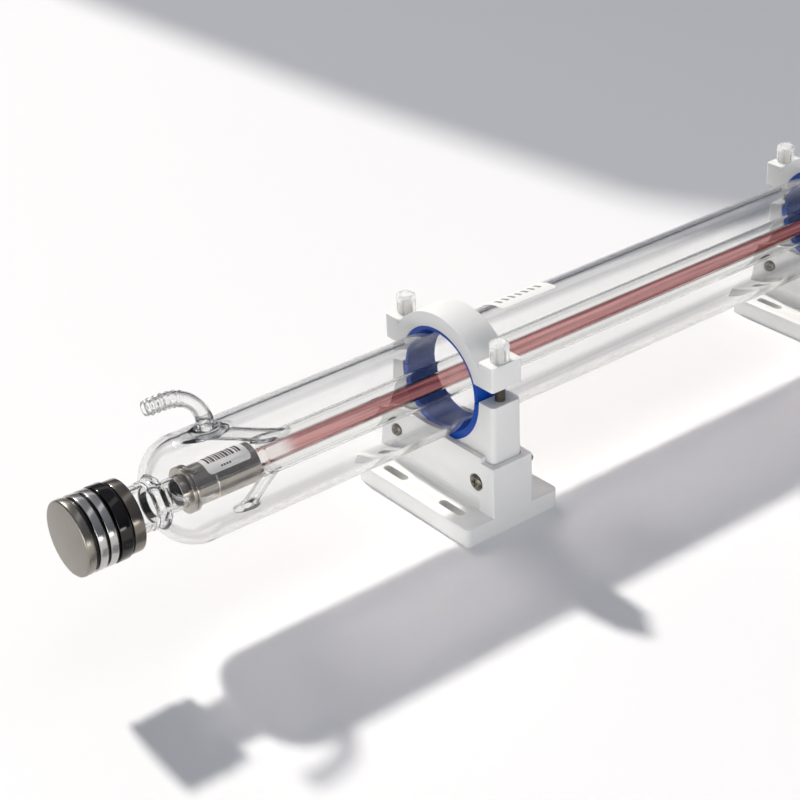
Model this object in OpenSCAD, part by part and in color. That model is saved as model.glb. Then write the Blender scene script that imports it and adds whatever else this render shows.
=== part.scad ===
// Glass carbon dioxide laser tube held in two height-adjustable plastic supports.
// Millimetres. X runs across the tube, Y along it (the labelled end is at -Y), Z is up.
// The origin is the centre of the front support's footprint on the mounting plane.

/* [Tube] */
// Outside diameter of the glass envelope
tube_diameter = 80; // [50:0.5:90]
// Length over the faces of both metal heads
overall_length = 1096; // [900:1:1600]
// Wall of the glass envelope
envelope_wall = 4.5; // [1.5:0.1:6]
// Outside diameter of the water jacket
jacket_diameter = 29; // [24:0.5:40]
// Outside diameter of the discharge tube
bore_diameter = 14; // [8:0.5:18]
// Wall of the water jacket and of the discharge tube
inner_wall = 1.5; // [1:0.1:2.5]
// Outside diameter of the water nozzles
nozzle_diameter = 12.5; // [8:0.5:14]
// Radius of the nozzle's bend at its centre line
nozzle_bend = 31; // [20:0.5:36]
// Outside diameter of each electrode
electrode_diameter = 29.6; // [26:0.2:36]
// Length of each electrode without its collar
electrode_length = 51; // [35:1:70]

/* [Heads] */
// Outside diameter of the head's cap and rings
head_diameter = 55; // [44:0.5:64]
// Length of a head from its face to the neck
head_length = 46; // [38:0.5:60]
// Width of the black seal rings between the head's metal rings
seal_width = 2.2; // [1.5:0.1:3]

/* [Supports] */
// Distance between the centres of the two supports
support_spacing = 430; // [300:1:900]
// Height of the tube's axis above the mounting plane, supports at their lowest
axis_height = 103.5; // [95:0.5:125]
// Length of a base plate across the tube
base_length = 134.6; // [120:0.2:180]
// Depth of a base plate along the tube
base_depth = 90.4; // [70:0.2:120]
// Thickness of a base plate
base_thickness = 15; // [8:0.5:20]
// Depth of the upright box along the tube
box_depth = 38.6; // [34:0.2:50]
// Height of the box's rim at its corners
box_height = 57.4; // [50:0.2:70]
// Wall of the box around the sliding saddle
box_wall = 4.7; // [3:0.1:7]
// Play between the saddle and the box on each side
slide_play = 0.2; // [0.1:0.05:0.5]
// How far the saddle can be raised
height_travel = 15; // [5:0.5:18]
// Height of the saddle's post tops above the tube's axis
post_rise = 1.2; // [-3:0.1:8]
// Radius of the saddle's hollow
saddle_radius = 46.5; // [42:0.1:52]
// Inside radius of the clamp arch
arch_inside = 44; // [41:0.1:48]
// Outside radius of the clamp arch
arch_outside = 55.5; // [50:0.1:60]
// Height of the underside of the arch's ears above the tube's axis
ear_rise = 14.7; // [8:0.1:20]
// Thickness of the arch's ears
ear_height = 19.8; // [12:0.1:24]
// Distance from the tube's axis to a clamp stud, across the tube
stud_offset = 54; // [50:0.5:60]
// Diameter of a clamp stud
stud_diameter = 8; // [5:0.5:10]
// Diameter of a clamp knob
knob_diameter = 15; // [14:0.5:24]
// Height of a clamp knob
knob_height = 15; // [14:0.5:28]

/* [Fasteners] */
// Half-width of a base slot
slot_radius = 3.5; // [2.5:0.1:5]
// Length of a base slot from end to end
slot_length = 27; // [12:0.5:35]
// Distance between slot centres across the tube
slot_spacing_across = 68; // [50:0.5:100]
// Distance between slot centres along the tube
slot_spacing_along = 65; // [50:0.5:90]
// Distance from the tube's axis to a height screw, across the tube
screw_offset = 47.5; // [40:0.5:52]
// Height of the height screws above the mounting plane
screw_height = 38.5; // [34:0.5:45]
// Diameter of a height screw
screw_diameter = 6; // [4:0.5:8]

/* [Hidden] */
round_fn = 96;
small_fn = 48;
tiny = 0.01;
tube_radius = tube_diameter / 2;
jacket_radius = jacket_diameter / 2;
bore_radius = bore_diameter / 2;
nozzle_radius = nozzle_diameter / 2;
nozzle_wall = 1.5;
electrode_radius = electrode_diameter / 2;
head_radius = head_diameter / 2;
stud_radius = stud_diameter / 2;
knob_radius = knob_diameter / 2;
screw_radius = screw_diameter / 2;
// Everything along the tube is counted from its middle and mirrored to the far end.
middle = support_spacing / 2;
half_length = overall_length / 2;
head_back = half_length - head_length;
// The dome: a straight tube that turns in over this corner radius.
dome_corner = 0.8 * tube_radius;
dome_start = head_back - 51;
dome_top = dome_start + dome_corner;
// The neck: a wide part behind the head, a thick ring in the dome's mouth, a narrow part inside.
neck_hole = 19.3;
wide_neck_radius = 17.1;
wide_neck_bore = 13.5;
neck_radius = 12;
neck_bore = 9.5;
mouth_radius = 4.2;
mouth_place = dome_top - 4.5;
lip_radius = 1.6;
neck_end = head_back - 39;
electrode_wall = 1;
// The weld line round the electrode stays just under its label.
weld_rise = 0.1;
weld_place = 34.8;
weld_width = 1.4;
collar_length = 6;
collar_rise = 2.4;
electrode_front = neck_end - 5;
electrode_back = electrode_front - collar_length - electrode_length;
bore_end = electrode_back + 3;
jacket_end = electrode_back - 11;
jacket_corner = 5;
// Water nozzle: it leaves the envelope behind the dome and bends towards the head.
nozzle_place = dome_start - 17.5;
nozzle_stub = 2;
nozzle_tip = 14.5;
nozzle_slant_end = jacket_end - 15;
// Heights above the tube's axis
stub_bottom = tube_radius - envelope_wall - 1.2;
stub_top = tube_radius + nozzle_stub;
bead_sink = 2.5;
bead_spread = 7;
feed_radius = nozzle_radius - 1;
feed_drop = stub_bottom - jacket_radius + 3;
feed_run = nozzle_place - nozzle_slant_end;
feed_angle = atan2(feed_run, feed_drop);
feed_length = sqrt(feed_drop * feed_drop + feed_run * feed_run);
strut_radius = 4.75;
strut_foot = electrode_back + 6;
strut_head = jacket_end - 6;
label_skin = 0.2;
label_length = 35;
label_gap = 0.15;
label_start = electrode_back + 5;
label_low_angle = 43;
label_high_angle = 124;
tube_label_start = 48;
tube_label_end = 104;
tube_label_low_angle = 86;
tube_label_high_angle = 124;
// The head's stack, counted inwards from its face.
core_radius = 0.8 * head_radius;
core_play = 0.1;
cap_length = 7;
first_seal = 2.6;
narrow_ring = 5.9;
sleeve_length = 8.8;
ring_one = cap_length + first_seal;
seal_two = ring_one + narrow_ring;
ring_two = seal_two + seal_width;
seal_three = ring_two + narrow_ring;
sleeve_start = seal_three + seal_width;
seal_four = sleeve_start + sleeve_length;
flange_start = seal_four + seal_width;
seal_drop = 1.7;
sleeve_rise = 0.3;
flange_radius = head_radius - 1;
mirror_radius = 12.5;
mirror_thick = 3;
beam_radius = 8;
cap_chamfer = 0.8;
// Supports
saddle_length = base_length - 2 * box_wall - 2 * slide_play;
saddle_depth = box_depth - 2 * box_wall - 2 * slide_play;
saddle_bottom = base_thickness - 1;
rim_rise = 4;
rim_notch = 14;
plate_corner = 4;
saddle_corner = 4;
// A cove along the foot of the box: it runs out level with the plate and cuts the wall above it.
cove_depth = 3;
cove_height = 10.6;
cove_radius = cove_depth + cove_height - sqrt(2 * cove_depth * cove_height);
cove_half = base_length / 2 - 16.5;
cove_sink = 0.3;
recess_depth = 2;
recess_radius = 7.2;
slot_play = 0.3;
// The posts and the ears follow the tube's axis; an ear runs from inside its stud to the end.
post_top = axis_height + post_rise;
ear_bottom = axis_height + ear_rise;
ear_top = ear_bottom + ear_height;
ear_end = saddle_length / 2;
ear_margin = 7.6;
ear_width = ear_end - stud_offset + ear_margin;
liner_play = 0.05;
liner_inset = 1;
// Both rubber strips together close round the tube; they meet just under the axis.
upper_liner_end = 1;
lower_liner_end = 2.5;
stud_hole_play = 0.5;
stud_bottom = post_top - 26;
stud_top = ear_top + knob_height - 5;
knob_play = 0.05;
insert_radius = 5.9;
insert_height = 8;
knob_rim = 2;
flute_radius = 3;
flute_depth = 1;
head_screw_radius = 6.3;
head_screw_height = 3.8;
drive_depth = 2;
drive_width = 1.4;
drive_length = 7;
nut_flat = 10;
nut_height = 6.4;
washer_radius = 6.2;
washer_thick = 1.6;
screw_end = 9;

// ---------- helpers ----------

// Stands a revolved outline along the tube's axis: outline x is radius, y is place along Y.
module spun() {
    translate([0, middle, axis_height]) rotate([-90, 0, 0]) rotate_extrude($fn = round_fn) children();
}

// Draws its children for the near end (side = -1) or the mirrored far end (side = 1).
module at_end(side) {
    translate([0, middle, 0]) mirror([0, side < 0 ? 1 : 0, 0]) children();
}

// A ring outline from inner to outer radius between two places, both from the middle.
module band(inner, outer, from, to) {
    translate([inner, from]) square([outer - inner, to - from]);
}

// Spins a ring around the tube's axis at an end; places grow towards the head.
module end_spun() {
    translate([0, 0, axis_height]) rotate([-90, 0, 0]) rotate_extrude($fn = round_fn) children();
}

// The outline of a tube that closes in a rounded dome at both ends.
module domed_outline(shrink) {
    translate([0, -dome_start]) square([tube_radius - shrink, 2 * dome_start]);
    for (side = [-1, 1]) intersection() {
        translate([0, side * dome_start]) union() {
            translate([tube_radius - dome_corner, 0]) circle(dome_corner - shrink, $fn = round_fn);
            translate([0, side < 0 ? shrink - dome_corner : 0])
                square([tube_radius - dome_corner, dome_corner - shrink]);
        }
        translate([0, side < 0 ? -dome_top : dome_start]) square([tube_radius, dome_corner]);
    }
}

// A block with rounded upright edges.
module post_block(length, depth, height, corner) {
    linear_extrude(height) union() {
        square([length - 2 * corner, depth], center = true);
        square([length, depth - 2 * corner], center = true);
        for (x = [-1, 1], y = [-1, 1])
            translate([x * (length / 2 - corner), y * (depth / 2 - corner)])
                circle(corner, $fn = small_fn);
    }
}

// A rod along Y through the origin plane.
module rod_y(radius, from, to) {
    translate([0, from, 0]) rotate([-90, 0, 0]) cylinder(r = radius, h = to - from, $fn = small_fn);
}

// ---------- supports ----------

module base() {
    color("white") difference() {
        union() {
            post_block(base_length, base_depth, base_thickness, plate_corner);
            post_block(base_length, box_depth, box_height, 1);
            translate([0, 0, box_height - tiny])
                post_block(base_length - 2 * rim_notch, box_depth, rim_rise + tiny, 1);
        }
        // pocket for the saddle
        translate([0, 0, saddle_bottom]) post_block(saddle_length + 2 * slide_play,
            saddle_depth + 2 * slide_play, box_height + rim_rise, saddle_corner + slide_play);
        // slotted holes that run across the tube
        for (x = [-1, 1], y = [-1, 1])
            translate([x * slot_spacing_across / 2, y * slot_spacing_along / 2, -1]) {
                translate([-slot_length / 2 + slot_radius, -slot_radius, 0])
                    cube([slot_length - 2 * slot_radius, 2 * slot_radius, base_thickness + 2]);
                for (end = [-1, 1]) translate([end * (slot_length / 2 - slot_radius), 0, 0])
                    cylinder(r = slot_radius, h = base_thickness + 2, $fn = small_fn);
            }
        // height screw holes with a round recess for each head
        for (x = [-1, 1]) translate([x * screw_offset, 0, screw_height]) {
            rod_y(screw_radius + slot_play, -box_depth, box_depth);
            rod_y(recess_radius, -box_depth / 2 - 1, -box_depth / 2 + recess_depth);
        }
        // coved foot along both long faces
        for (y = [-1, 1]) translate([-cove_half,
                y * (box_depth / 2 + cove_radius - cove_depth), base_thickness + cove_radius - cove_sink])
            rotate([0, 90, 0]) cylinder(r = cove_radius, h = 2 * cove_half, $fn = round_fn);
    }
}

module saddle() {
    color("white") difference() {
        translate([0, 0, saddle_bottom])
            post_block(saddle_length, saddle_depth, post_top - saddle_bottom, saddle_corner);
        translate([0, 0, axis_height]) rod_y(saddle_radius, -base_depth, base_depth);
        // upright slots for the height screws
        for (x = [-1, 1]) translate([x * screw_offset, 0, screw_height]) {
            rod_y(screw_radius + slot_play, -base_depth, base_depth);
            translate([0, 0, -height_travel]) rod_y(screw_radius + slot_play, -base_depth, base_depth);
            translate([-screw_radius - slot_play, -base_depth, -height_travel])
                cube([2 * (screw_radius + slot_play), 2 * base_depth, height_travel]);
        }
        for (x = [-1, 1]) translate([x * stud_offset, 0, stud_bottom])
            cylinder(r = stud_radius, h = post_top, $fn = small_fn);
    }
}

module arch() {
    color("white") difference() {
        intersection() {
            union() {
                translate([0, 0, axis_height])
                    rotate([90, 0, 0]) cylinder(r = arch_outside, h = saddle_depth, center = true,
                        $fn = round_fn);
                for (x = [-1, 1]) translate([x * (ear_end - ear_width / 2), 0, ear_bottom])
                    post_block(ear_width, saddle_depth, ear_top - ear_bottom, 2);
            }
            translate([-base_length, -saddle_depth / 2, ear_bottom])
                cube([2 * base_length, saddle_depth, arch_outside]);
        }
        translate([0, 0, axis_height]) rod_y(arch_inside, -base_depth, base_depth);
        for (x = [-1, 1]) translate([x * stud_offset, 0, 0])
            cylinder(r = stud_radius + stud_hole_play, h = 2 * axis_height, $fn = small_fn);
    }
}

// A curved rubber strip between two radii and two angles.
module liner(outer, low, high) {
    color("royalblue") translate([0, saddle_depth / 2 - liner_inset, axis_height]) rotate([90, 0, 0])
        rotate([0, 0, low]) rotate_extrude(angle = high - low, $fn = round_fn)
            translate([tube_radius + liner_play, 0])
                square([outer - tube_radius - 2 * liner_play, saddle_depth - 2 * liner_inset]);
}

module lower_liner() { liner(saddle_radius, 180 + lower_liner_end, 360 - lower_liner_end); }

module upper_liner() { liner(arch_inside, -upper_liner_end, 180 + upper_liner_end); }

module height_screws() {
    color("dimgray") for (y = [0, support_spacing], x = [-1, 1])
        translate([x * screw_offset, y, screw_height]) difference() {
            union() {
                rod_y(screw_radius, -box_depth / 2 + recess_depth,
                    box_depth / 2 + washer_thick + nut_height + screw_end);
                rod_y(head_screw_radius, -box_depth / 2 + recess_depth - head_screw_height,
                    -box_depth / 2 + recess_depth);
            }
            for (turn = [45, 135]) rotate([0, turn, 0])
                translate([-drive_length / 2, -box_depth / 2 + recess_depth - head_screw_height - 1,
                    -drive_width / 2]) cube([drive_length, drive_depth + 1, drive_width]);
        }
}

module height_nuts() {
    color("dimgray") for (y = [0, support_spacing], x = [-1, 1])
        translate([x * screw_offset, y + box_depth / 2 + washer_thick, screw_height])
            rotate([-90, 0, 0]) difference() {
                cylinder(d = nut_flat / cos(30), h = nut_height, $fn = 6);
                translate([0, 0, -1]) cylinder(r = screw_radius, h = nut_height + 2, $fn = small_fn);
            }
}

module height_washers() {
    color("silver") for (y = [0, support_spacing], x = [-1, 1])
        translate([x * screw_offset, y + box_depth / 2, screw_height])
            rotate([-90, 0, 0]) difference() {
                cylinder(r = washer_radius, h = washer_thick, $fn = small_fn);
                translate([0, 0, -1])
                    cylinder(r = screw_radius + slot_play, h = washer_thick + 2, $fn = small_fn);
            }
}

module clamp_studs() {
    color("dimgray") for (y = [0, support_spacing], x = [-1, 1])
        translate([x * stud_offset, y, stud_bottom])
            cylinder(r = stud_radius, h = stud_top - stud_bottom, $fn = small_fn);
}

module knob() {
    color("whitesmoke") difference() {
        union() {
            cylinder(r = knob_radius, h = knob_rim, $fn = small_fn);
            cylinder(r = knob_radius - 0.6, h = knob_height - 1.5, $fn = small_fn);
            translate([0, 0, knob_height - 1.5])
                cylinder(r1 = knob_radius - 0.6, r2 = knob_radius - 2.1, h = 1.5, $fn = small_fn);
        }
        translate([0, 0, -1]) cylinder(r = insert_radius, h = insert_height + 1, $fn = 6);
        cylinder(r = stud_radius + 2 * slot_play, h = knob_height - 3, $fn = small_fn);
        // shallow finger flutes
        for (turn = [0 : 60 : 300]) rotate([0, 0, turn])
            translate([knob_radius + flute_radius - flute_depth, 0, knob_rim + 1])
                cylinder(r = flute_radius, h = knob_height, $fn = small_fn);
    }
}

module insert() {
    color("gray") difference() {
        cylinder(r = insert_radius, h = insert_height, $fn = 6);
        translate([0, 0, -1]) cylinder(r = stud_radius + knob_play, h = insert_height + 2, $fn = small_fn);
    }
}

// ---------- glass ----------

module envelope() {
    color("lightcyan", 0.3) difference() {
        spun() difference() {
            domed_outline(0);
            domed_outline(envelope_wall);
            translate([0, -half_length]) square([neck_hole, overall_length]);
        }
        for (side = [-1, 1]) at_end(side) translate([0, nozzle_place, axis_height])
            cylinder(r = nozzle_radius, h = 2 * tube_radius, $fn = small_fn);
    }
}

module water_jacket() {
    color("lightcyan", 0.3) spun() for (side = [0, 1]) mirror([0, side]) difference() {
        union() {
            translate([0, 0]) square([jacket_radius, jacket_end - jacket_corner]);
            translate([0, jacket_end - jacket_corner - tiny])
                square([jacket_radius - jacket_corner, jacket_corner + tiny]);
            translate([jacket_radius - jacket_corner, jacket_end - jacket_corner])
                circle(jacket_corner, $fn = small_fn);
        }
        union() {
            translate([0, -1])
                square([jacket_radius - inner_wall, jacket_end - jacket_corner + 1]);
            translate([0, jacket_end - jacket_corner - tiny])
                square([jacket_radius - jacket_corner, jacket_corner - inner_wall + tiny]);
            translate([jacket_radius - jacket_corner, jacket_end - jacket_corner])
                circle(jacket_corner - inner_wall, $fn = small_fn);
        }
        translate([0, -1]) square([bore_radius, jacket_end + 2]);
    }
}

module discharge_tube() {
    color("mistyrose", 0.5) spun() band(bore_radius - inner_wall, bore_radius, -bore_end, bore_end);
}

module neck() {
    color("lightcyan", 0.3) end_spun() difference() {
        union() {
            band(0, neck_radius, neck_end, mouth_place);
            band(0, neck_hole - mouth_radius, mouth_place - mouth_radius, mouth_place + mouth_radius);
            translate([neck_hole - mouth_radius, mouth_place]) circle(mouth_radius, $fn = small_fn);
            band(0, wide_neck_radius, mouth_place, head_back);
            translate([wide_neck_radius - lip_radius / 2, mouth_place + 2 * mouth_radius])
                circle(lip_radius, $fn = small_fn);
        }
        translate([0, neck_end - 1]) square([neck_bore, head_back]);
        band(0, wide_neck_bore, mouth_place + 1.6 * mouth_radius, head_back + 1);
    }
}

// The ring outline of the nozzle's wall.
module nozzle_ring() {
    difference() {
        circle(nozzle_radius, $fn = small_fn);
        circle(nozzle_radius - nozzle_wall, $fn = small_fn);
    }
}

// The hooked water nozzle on top of the envelope, with the bead that seals its foot.
module nozzle() {
    color("lightcyan", 0.3) union() {
        translate([0, nozzle_place, axis_height + stub_bottom])
            linear_extrude(stub_top - stub_bottom) nozzle_ring();
        translate([0, nozzle_place + nozzle_bend, axis_height + stub_top]) rotate([0, -90, 0])
            rotate([0, 0, -90]) rotate_extrude(angle = 90, $fn = round_fn)
                translate([nozzle_bend, 0]) nozzle_ring();
        translate([0, nozzle_place + nozzle_bend, axis_height + stub_top + nozzle_bend])
            rotate([-90, 0, 0]) linear_extrude(nozzle_tip) nozzle_ring();
        difference() {
            translate([0, nozzle_place, axis_height + tube_radius - bead_sink])
                cylinder(r1 = nozzle_radius + bead_spread, r2 = nozzle_radius - bead_sink / 4,
                    h = bead_sink + bead_spread, $fn = small_fn);
            translate([0, 0, axis_height]) rod_y(tube_radius, 0, half_length);
            translate([0, nozzle_place, axis_height])
                cylinder(r = nozzle_radius - nozzle_wall / 2, h = tube_diameter, $fn = small_fn);
        }
    }
}

// The glass pipe that carries water from the nozzle's foot to the jacket.
module feed() {
    color("lightcyan", 0.3) difference() {
        translate([0, nozzle_place, axis_height + stub_bottom]) rotate([180 - feed_angle, 0, 0])
            difference() {
                translate([0, 0, -nozzle_diameter]) cylinder(r = feed_radius,
                    h = feed_length + nozzle_diameter, $fn = small_fn);
                translate([0, 0, -nozzle_diameter - 1]) cylinder(r = feed_radius - nozzle_wall,
                    h = feed_length + nozzle_diameter + 2, $fn = small_fn);
            }
        translate([-tube_radius, 0, axis_height + stub_bottom])
            cube([tube_diameter, half_length, tube_diameter]);
        translate([0, 0, axis_height]) rod_y(jacket_radius, 0, half_length);
    }
}

// A glass rod that steadies the end of the jacket on the wall of the envelope.
module strut() {
    drop = tube_radius - jacket_radius;
    color("lightcyan", 0.3) difference() {
        intersection() {
            translate([0, strut_foot, axis_height - tube_radius])
                rotate([atan2(strut_foot - strut_head, drop), 0, 0])
                    cylinder(r = strut_radius, h = 2 * drop, $fn = small_fn);
            translate([0, 0, axis_height]) rod_y(tube_radius - envelope_wall, 0, half_length);
            translate([-tube_radius, 0, axis_height - tube_radius])
                cube([tube_diameter, half_length, tube_radius]);
        }
        translate([0, 0, axis_height]) rod_y(jacket_radius, 0, half_length);
    }
}

// ---------- electrodes and labels ----------

module electrode() {
    color("gray") end_spun() union() {
        band(electrode_radius - electrode_wall, electrode_radius,
            electrode_back, electrode_front - collar_length + 1);
        band(neck_bore, electrode_radius + collar_rise, electrode_front - collar_length,
            electrode_front);
        band(neck_bore, neck_radius, electrode_front - tiny, neck_end);
        band(electrode_radius - tiny, electrode_radius + weld_rise,
            electrode_back + weld_place, electrode_back + weld_place + weld_width);
    }
}

// A thin curved skin on the tube's or electrode's surface.
module skin(radius, low, high, from, to) {
    color("white") translate([0, to, axis_height]) rotate([90, 0, 0])
        rotate([0, 0, low]) rotate_extrude(angle = high - low, $fn = round_fn)
            translate([radius, 0]) square([label_skin, to - from]);
}

module electrode_label() {
    skin(electrode_radius + label_gap, label_low_angle, label_high_angle,
        middle - label_start - label_length, middle - label_start);
}

module tube_label() {
    skin(tube_radius + label_gap, tube_label_low_angle, tube_label_high_angle,
        tube_label_start, tube_label_end);
}

// ---------- heads ----------

// A band that is placed by its distance inwards from the head's face.
module head_band(inner, outer, from, to) { band(inner, outer, half_length - to, half_length - from); }

module head_core() {
    color("silver") end_spun() difference() {
        union() {
            head_band(0, core_radius, cap_length, flange_start + tiny);
            head_band(0, flange_radius, flange_start, head_length);
        }
        head_band(0, beam_radius, 0, head_length + 1);
        head_band(0, mirror_radius, 0, cap_length + mirror_thick);
    }
}

module head_rings() {
    color("silver") end_spun() {
        head_band(core_radius + core_play, head_radius, ring_one, seal_two);
        head_band(core_radius + core_play, head_radius, ring_two, seal_three);
    }
}

module head_sleeve() {
    color("dimgray") end_spun()
        head_band(core_radius + core_play, head_radius + sleeve_rise, sleeve_start, seal_four);
}

module cap() {
    color("darkgray") end_spun() difference() {
        head_band(0, head_radius, 0, cap_length);
        translate([head_radius, half_length]) rotate([0, 0, 45])
            square([cap_chamfer * sqrt(2), cap_chamfer * sqrt(2)], center = true);
    }
}

module seals() {
    color("black") end_spun() {
        head_band(core_radius + core_play, head_radius - seal_drop, cap_length, ring_one);
        head_band(core_radius + core_play, head_radius - seal_drop, seal_two, ring_two);
        head_band(core_radius + core_play, head_radius - seal_drop, seal_three, sleeve_start);
        head_band(core_radius + core_play, head_radius - seal_drop, seal_four, flange_start);
    }
}

module mirror_disc() {
    color("gold") end_spun() head_band(0, mirror_radius - core_play, cap_length, cap_length + mirror_thick);
}

// ---------- nodes ----------

base();  // front_base
translate([0, support_spacing, 0]) base();  // rear_base
height_screws();
height_nuts();
height_washers();
saddle();  // front_saddle
translate([0, support_spacing, 0]) saddle();  // rear_saddle
arch();  // front_arch
translate([0, support_spacing, 0]) arch();  // rear_arch
lower_liner();  // front_lower_liner
translate([0, support_spacing, 0]) lower_liner();  // rear_lower_liner
upper_liner();  // front_upper_liner
translate([0, support_spacing, 0]) upper_liner();  // rear_upper_liner
clamp_studs();
envelope();
water_jacket();
discharge_tube();
at_end(-1) neck();  // front_neck
at_end(1) neck();  // rear_neck
at_end(-1) nozzle();  // front_nozzle
at_end(1) nozzle();  // rear_nozzle
at_end(-1) feed();  // front_feed
at_end(1) feed();  // rear_feed
at_end(-1) strut();  // front_strut
at_end(1) strut();  // rear_strut
at_end(-1) electrode();  // front_electrode
at_end(1) electrode();  // rear_electrode
electrode_label();
tube_label();
at_end(-1) head_core();  // front_head_core
at_end(1) head_core();  // rear_head_core
at_end(-1) head_rings();  // front_head_rings
at_end(1) head_rings();  // rear_head_rings
at_end(-1) head_sleeve();  // front_head_sleeve
at_end(1) head_sleeve();  // rear_head_sleeve
at_end(-1) cap();  // front_cap
at_end(1) cap();  // rear_cap
at_end(-1) seals();  // front_seals
at_end(1) seals();  // rear_seals
at_end(-1) mirror_disc();  // front_mirror
at_end(1) mirror_disc();  // rear_mirror
translate([stud_offset, 0, ear_top]) knob();  // front_right_knob
translate([-stud_offset, 0, ear_top]) knob();  // front_left_knob
translate([stud_offset, support_spacing, ear_top]) knob();  // rear_right_knob
translate([-stud_offset, support_spacing, ear_top]) knob();  // rear_left_knob
translate([stud_offset, 0, ear_top]) insert();  // front_right_insert
translate([-stud_offset, 0, ear_top]) insert();  // front_left_insert
translate([stud_offset, support_spacing, ear_top]) insert();  // rear_right_insert
translate([-stud_offset, support_spacing, ear_top]) insert();  // rear_left_insert
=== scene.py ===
"""A glass carbon dioxide laser tube in its two clamp supports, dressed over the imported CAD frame.

Objects are in metres, in the CAD frame: X across the tube, Y along it, Z up. Sizes and outlines
are in millimetres.
"""

import logging
import math
from collections.abc import Callable, Iterable, Sequence
from dataclasses import dataclass, field
from enum import Enum

import bmesh
import bpy
from mathutils import Matrix, Vector

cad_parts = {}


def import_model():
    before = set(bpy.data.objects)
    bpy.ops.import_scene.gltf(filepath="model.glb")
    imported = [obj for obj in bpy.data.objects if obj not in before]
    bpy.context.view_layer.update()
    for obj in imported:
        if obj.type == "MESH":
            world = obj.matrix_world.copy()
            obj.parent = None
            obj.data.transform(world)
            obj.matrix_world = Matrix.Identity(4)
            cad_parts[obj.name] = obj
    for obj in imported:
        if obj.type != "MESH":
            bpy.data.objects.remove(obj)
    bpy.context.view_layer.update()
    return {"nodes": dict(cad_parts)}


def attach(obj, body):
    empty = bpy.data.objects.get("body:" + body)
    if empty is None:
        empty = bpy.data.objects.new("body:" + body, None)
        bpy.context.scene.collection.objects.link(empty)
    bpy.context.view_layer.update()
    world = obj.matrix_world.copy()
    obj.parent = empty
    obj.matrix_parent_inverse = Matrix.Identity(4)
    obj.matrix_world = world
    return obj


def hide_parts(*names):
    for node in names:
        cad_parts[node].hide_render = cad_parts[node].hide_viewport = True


LOG = logging.getLogger("laser_tube")
MM = 0.001

# A point of a turned outline: distance from the axis it turns about and place along that axis.
Point = tuple[float, float]
Place = tuple[float, float, float]
Colour = tuple[float, float, float]
Tree = bpy.types.NodeTree
Socket = bpy.types.NodeSocket
Mesh = bmesh.types.BMesh
Vert = bmesh.types.BMVert
Object = bpy.types.Object


class End(Enum):
    """The two ends of the tube; the value is the direction along Y that leads to the head."""

    FRONT = -1
    REAR = 1


class Side(Enum):
    """The two sides of a support; the value is the sign of X."""

    LEFT = -1
    RIGHT = 1


# ---------------------------------------------------------------- colour and node helpers


def srgb(text: str) -> Colour:
    """Turns a colour written as six hex digits into linear light.

    Args:
        text: The colour, such as "F2F2EF".

    Returns:
        Red, green and blue in linear light, 0 to 1.
    """
    parts = [int(text[i : i + 2], 16) / 255 for i in (0, 2, 4)]
    linear = [c / 12.92 if c <= 0.04045 else ((c + 0.055) / 1.055) ** 2.4 for c in parts]
    return linear[0], linear[1], linear[2]


def scaled(colour: Colour, share: float) -> Colour:
    """Makes a colour darker.

    Args:
        colour: The colour.
        share: How much of it is left.

    Returns:
        The darker colour.
    """
    return colour[0] * share, colour[1] * share, colour[2] * share


def add_node(
    tree: Tree,
    kind: str,
    settings: dict[str | int, object] | None = None,
    links: dict[str | int, Socket] | None = None,
) -> bpy.types.Node:
    """Adds a shader node, sets its properties and sockets, and links its inputs.

    Args:
        tree: The node tree that gets the node.
        kind: The node's type name without "ShaderNode".
        settings: Property names, or names or numbers of input sockets, with their values.
        links: Names or numbers of input sockets, with the output each one is fed from.

    Returns:
        The new node.
    """
    node = tree.nodes.new("ShaderNode" + kind)
    for name, value in (settings or {}).items():
        if isinstance(name, int) or name in node.inputs:
            node.inputs[name].default_value = value
        else:
            setattr(node, name, value)
    for name, source in (links or {}).items():
        tree.links.new(source, node.inputs[name])
    return node


def object_noise(
    tree: Tree, scale: Sequence[float], detail: float = 3.0, roughness: float = 0.5
) -> Socket:
    """Adds noise in object coordinates, stretched by a scale along each axis.

    Args:
        tree: The node tree.
        scale: Waves per metre along X, Y and Z.
        detail: Octaves of finer noise.
        roughness: How strong the finer octaves are.

    Returns:
        The noise, 0 to 1.
    """
    place = add_node(tree, "TexCoord").outputs["Object"]
    mapping = add_node(tree, "Mapping", {"Scale": tuple(scale)}, {"Vector": place})
    settings = {"Scale": 1.0, "Detail": detail, "Roughness": roughness}
    vector = mapping.outputs["Vector"]
    return add_node(tree, "TexNoise", settings, {"Vector": vector}).outputs["Fac"]


def map_range(tree: Tree, source: Socket, start: Point, result: Point) -> Socket:
    """Maps one range onto another.

    Args:
        tree: The node tree.
        source: The value.
        start: The range it comes from.
        result: The range it goes to.

    Returns:
        The mapped value.
    """
    names = ("From Min", "From Max", "To Min", "To Max")
    settings = dict(zip(names, (*start, *result)))
    return add_node(tree, "MapRange", settings, {"Value": source}).outputs["Result"]


def remap(tree: Tree, noise: Socket, low: float, high: float) -> Socket:
    """Maps noise onto a range.

    Args:
        tree: The node tree.
        noise: The noise.
        low: The result at 0.25, where noise is usually lowest.
        high: The result at 0.75.

    Returns:
        The mapped value.
    """
    return map_range(tree, noise, (0.25, 0.75), (low, high))


def bump(tree: Tree, height: Socket, depth_mm: float) -> Socket:
    """Turns a height into a normal.

    Args:
        tree: The node tree.
        height: The height, 0 to 1.
        depth_mm: What a height of 1 stands for, in millimetres.

    Returns:
        The normal.
    """
    settings = {"Strength": 1.0, "Distance": depth_mm * MM}
    return add_node(tree, "Bump", settings, {"Height": height}).outputs["Normal"]


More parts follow.
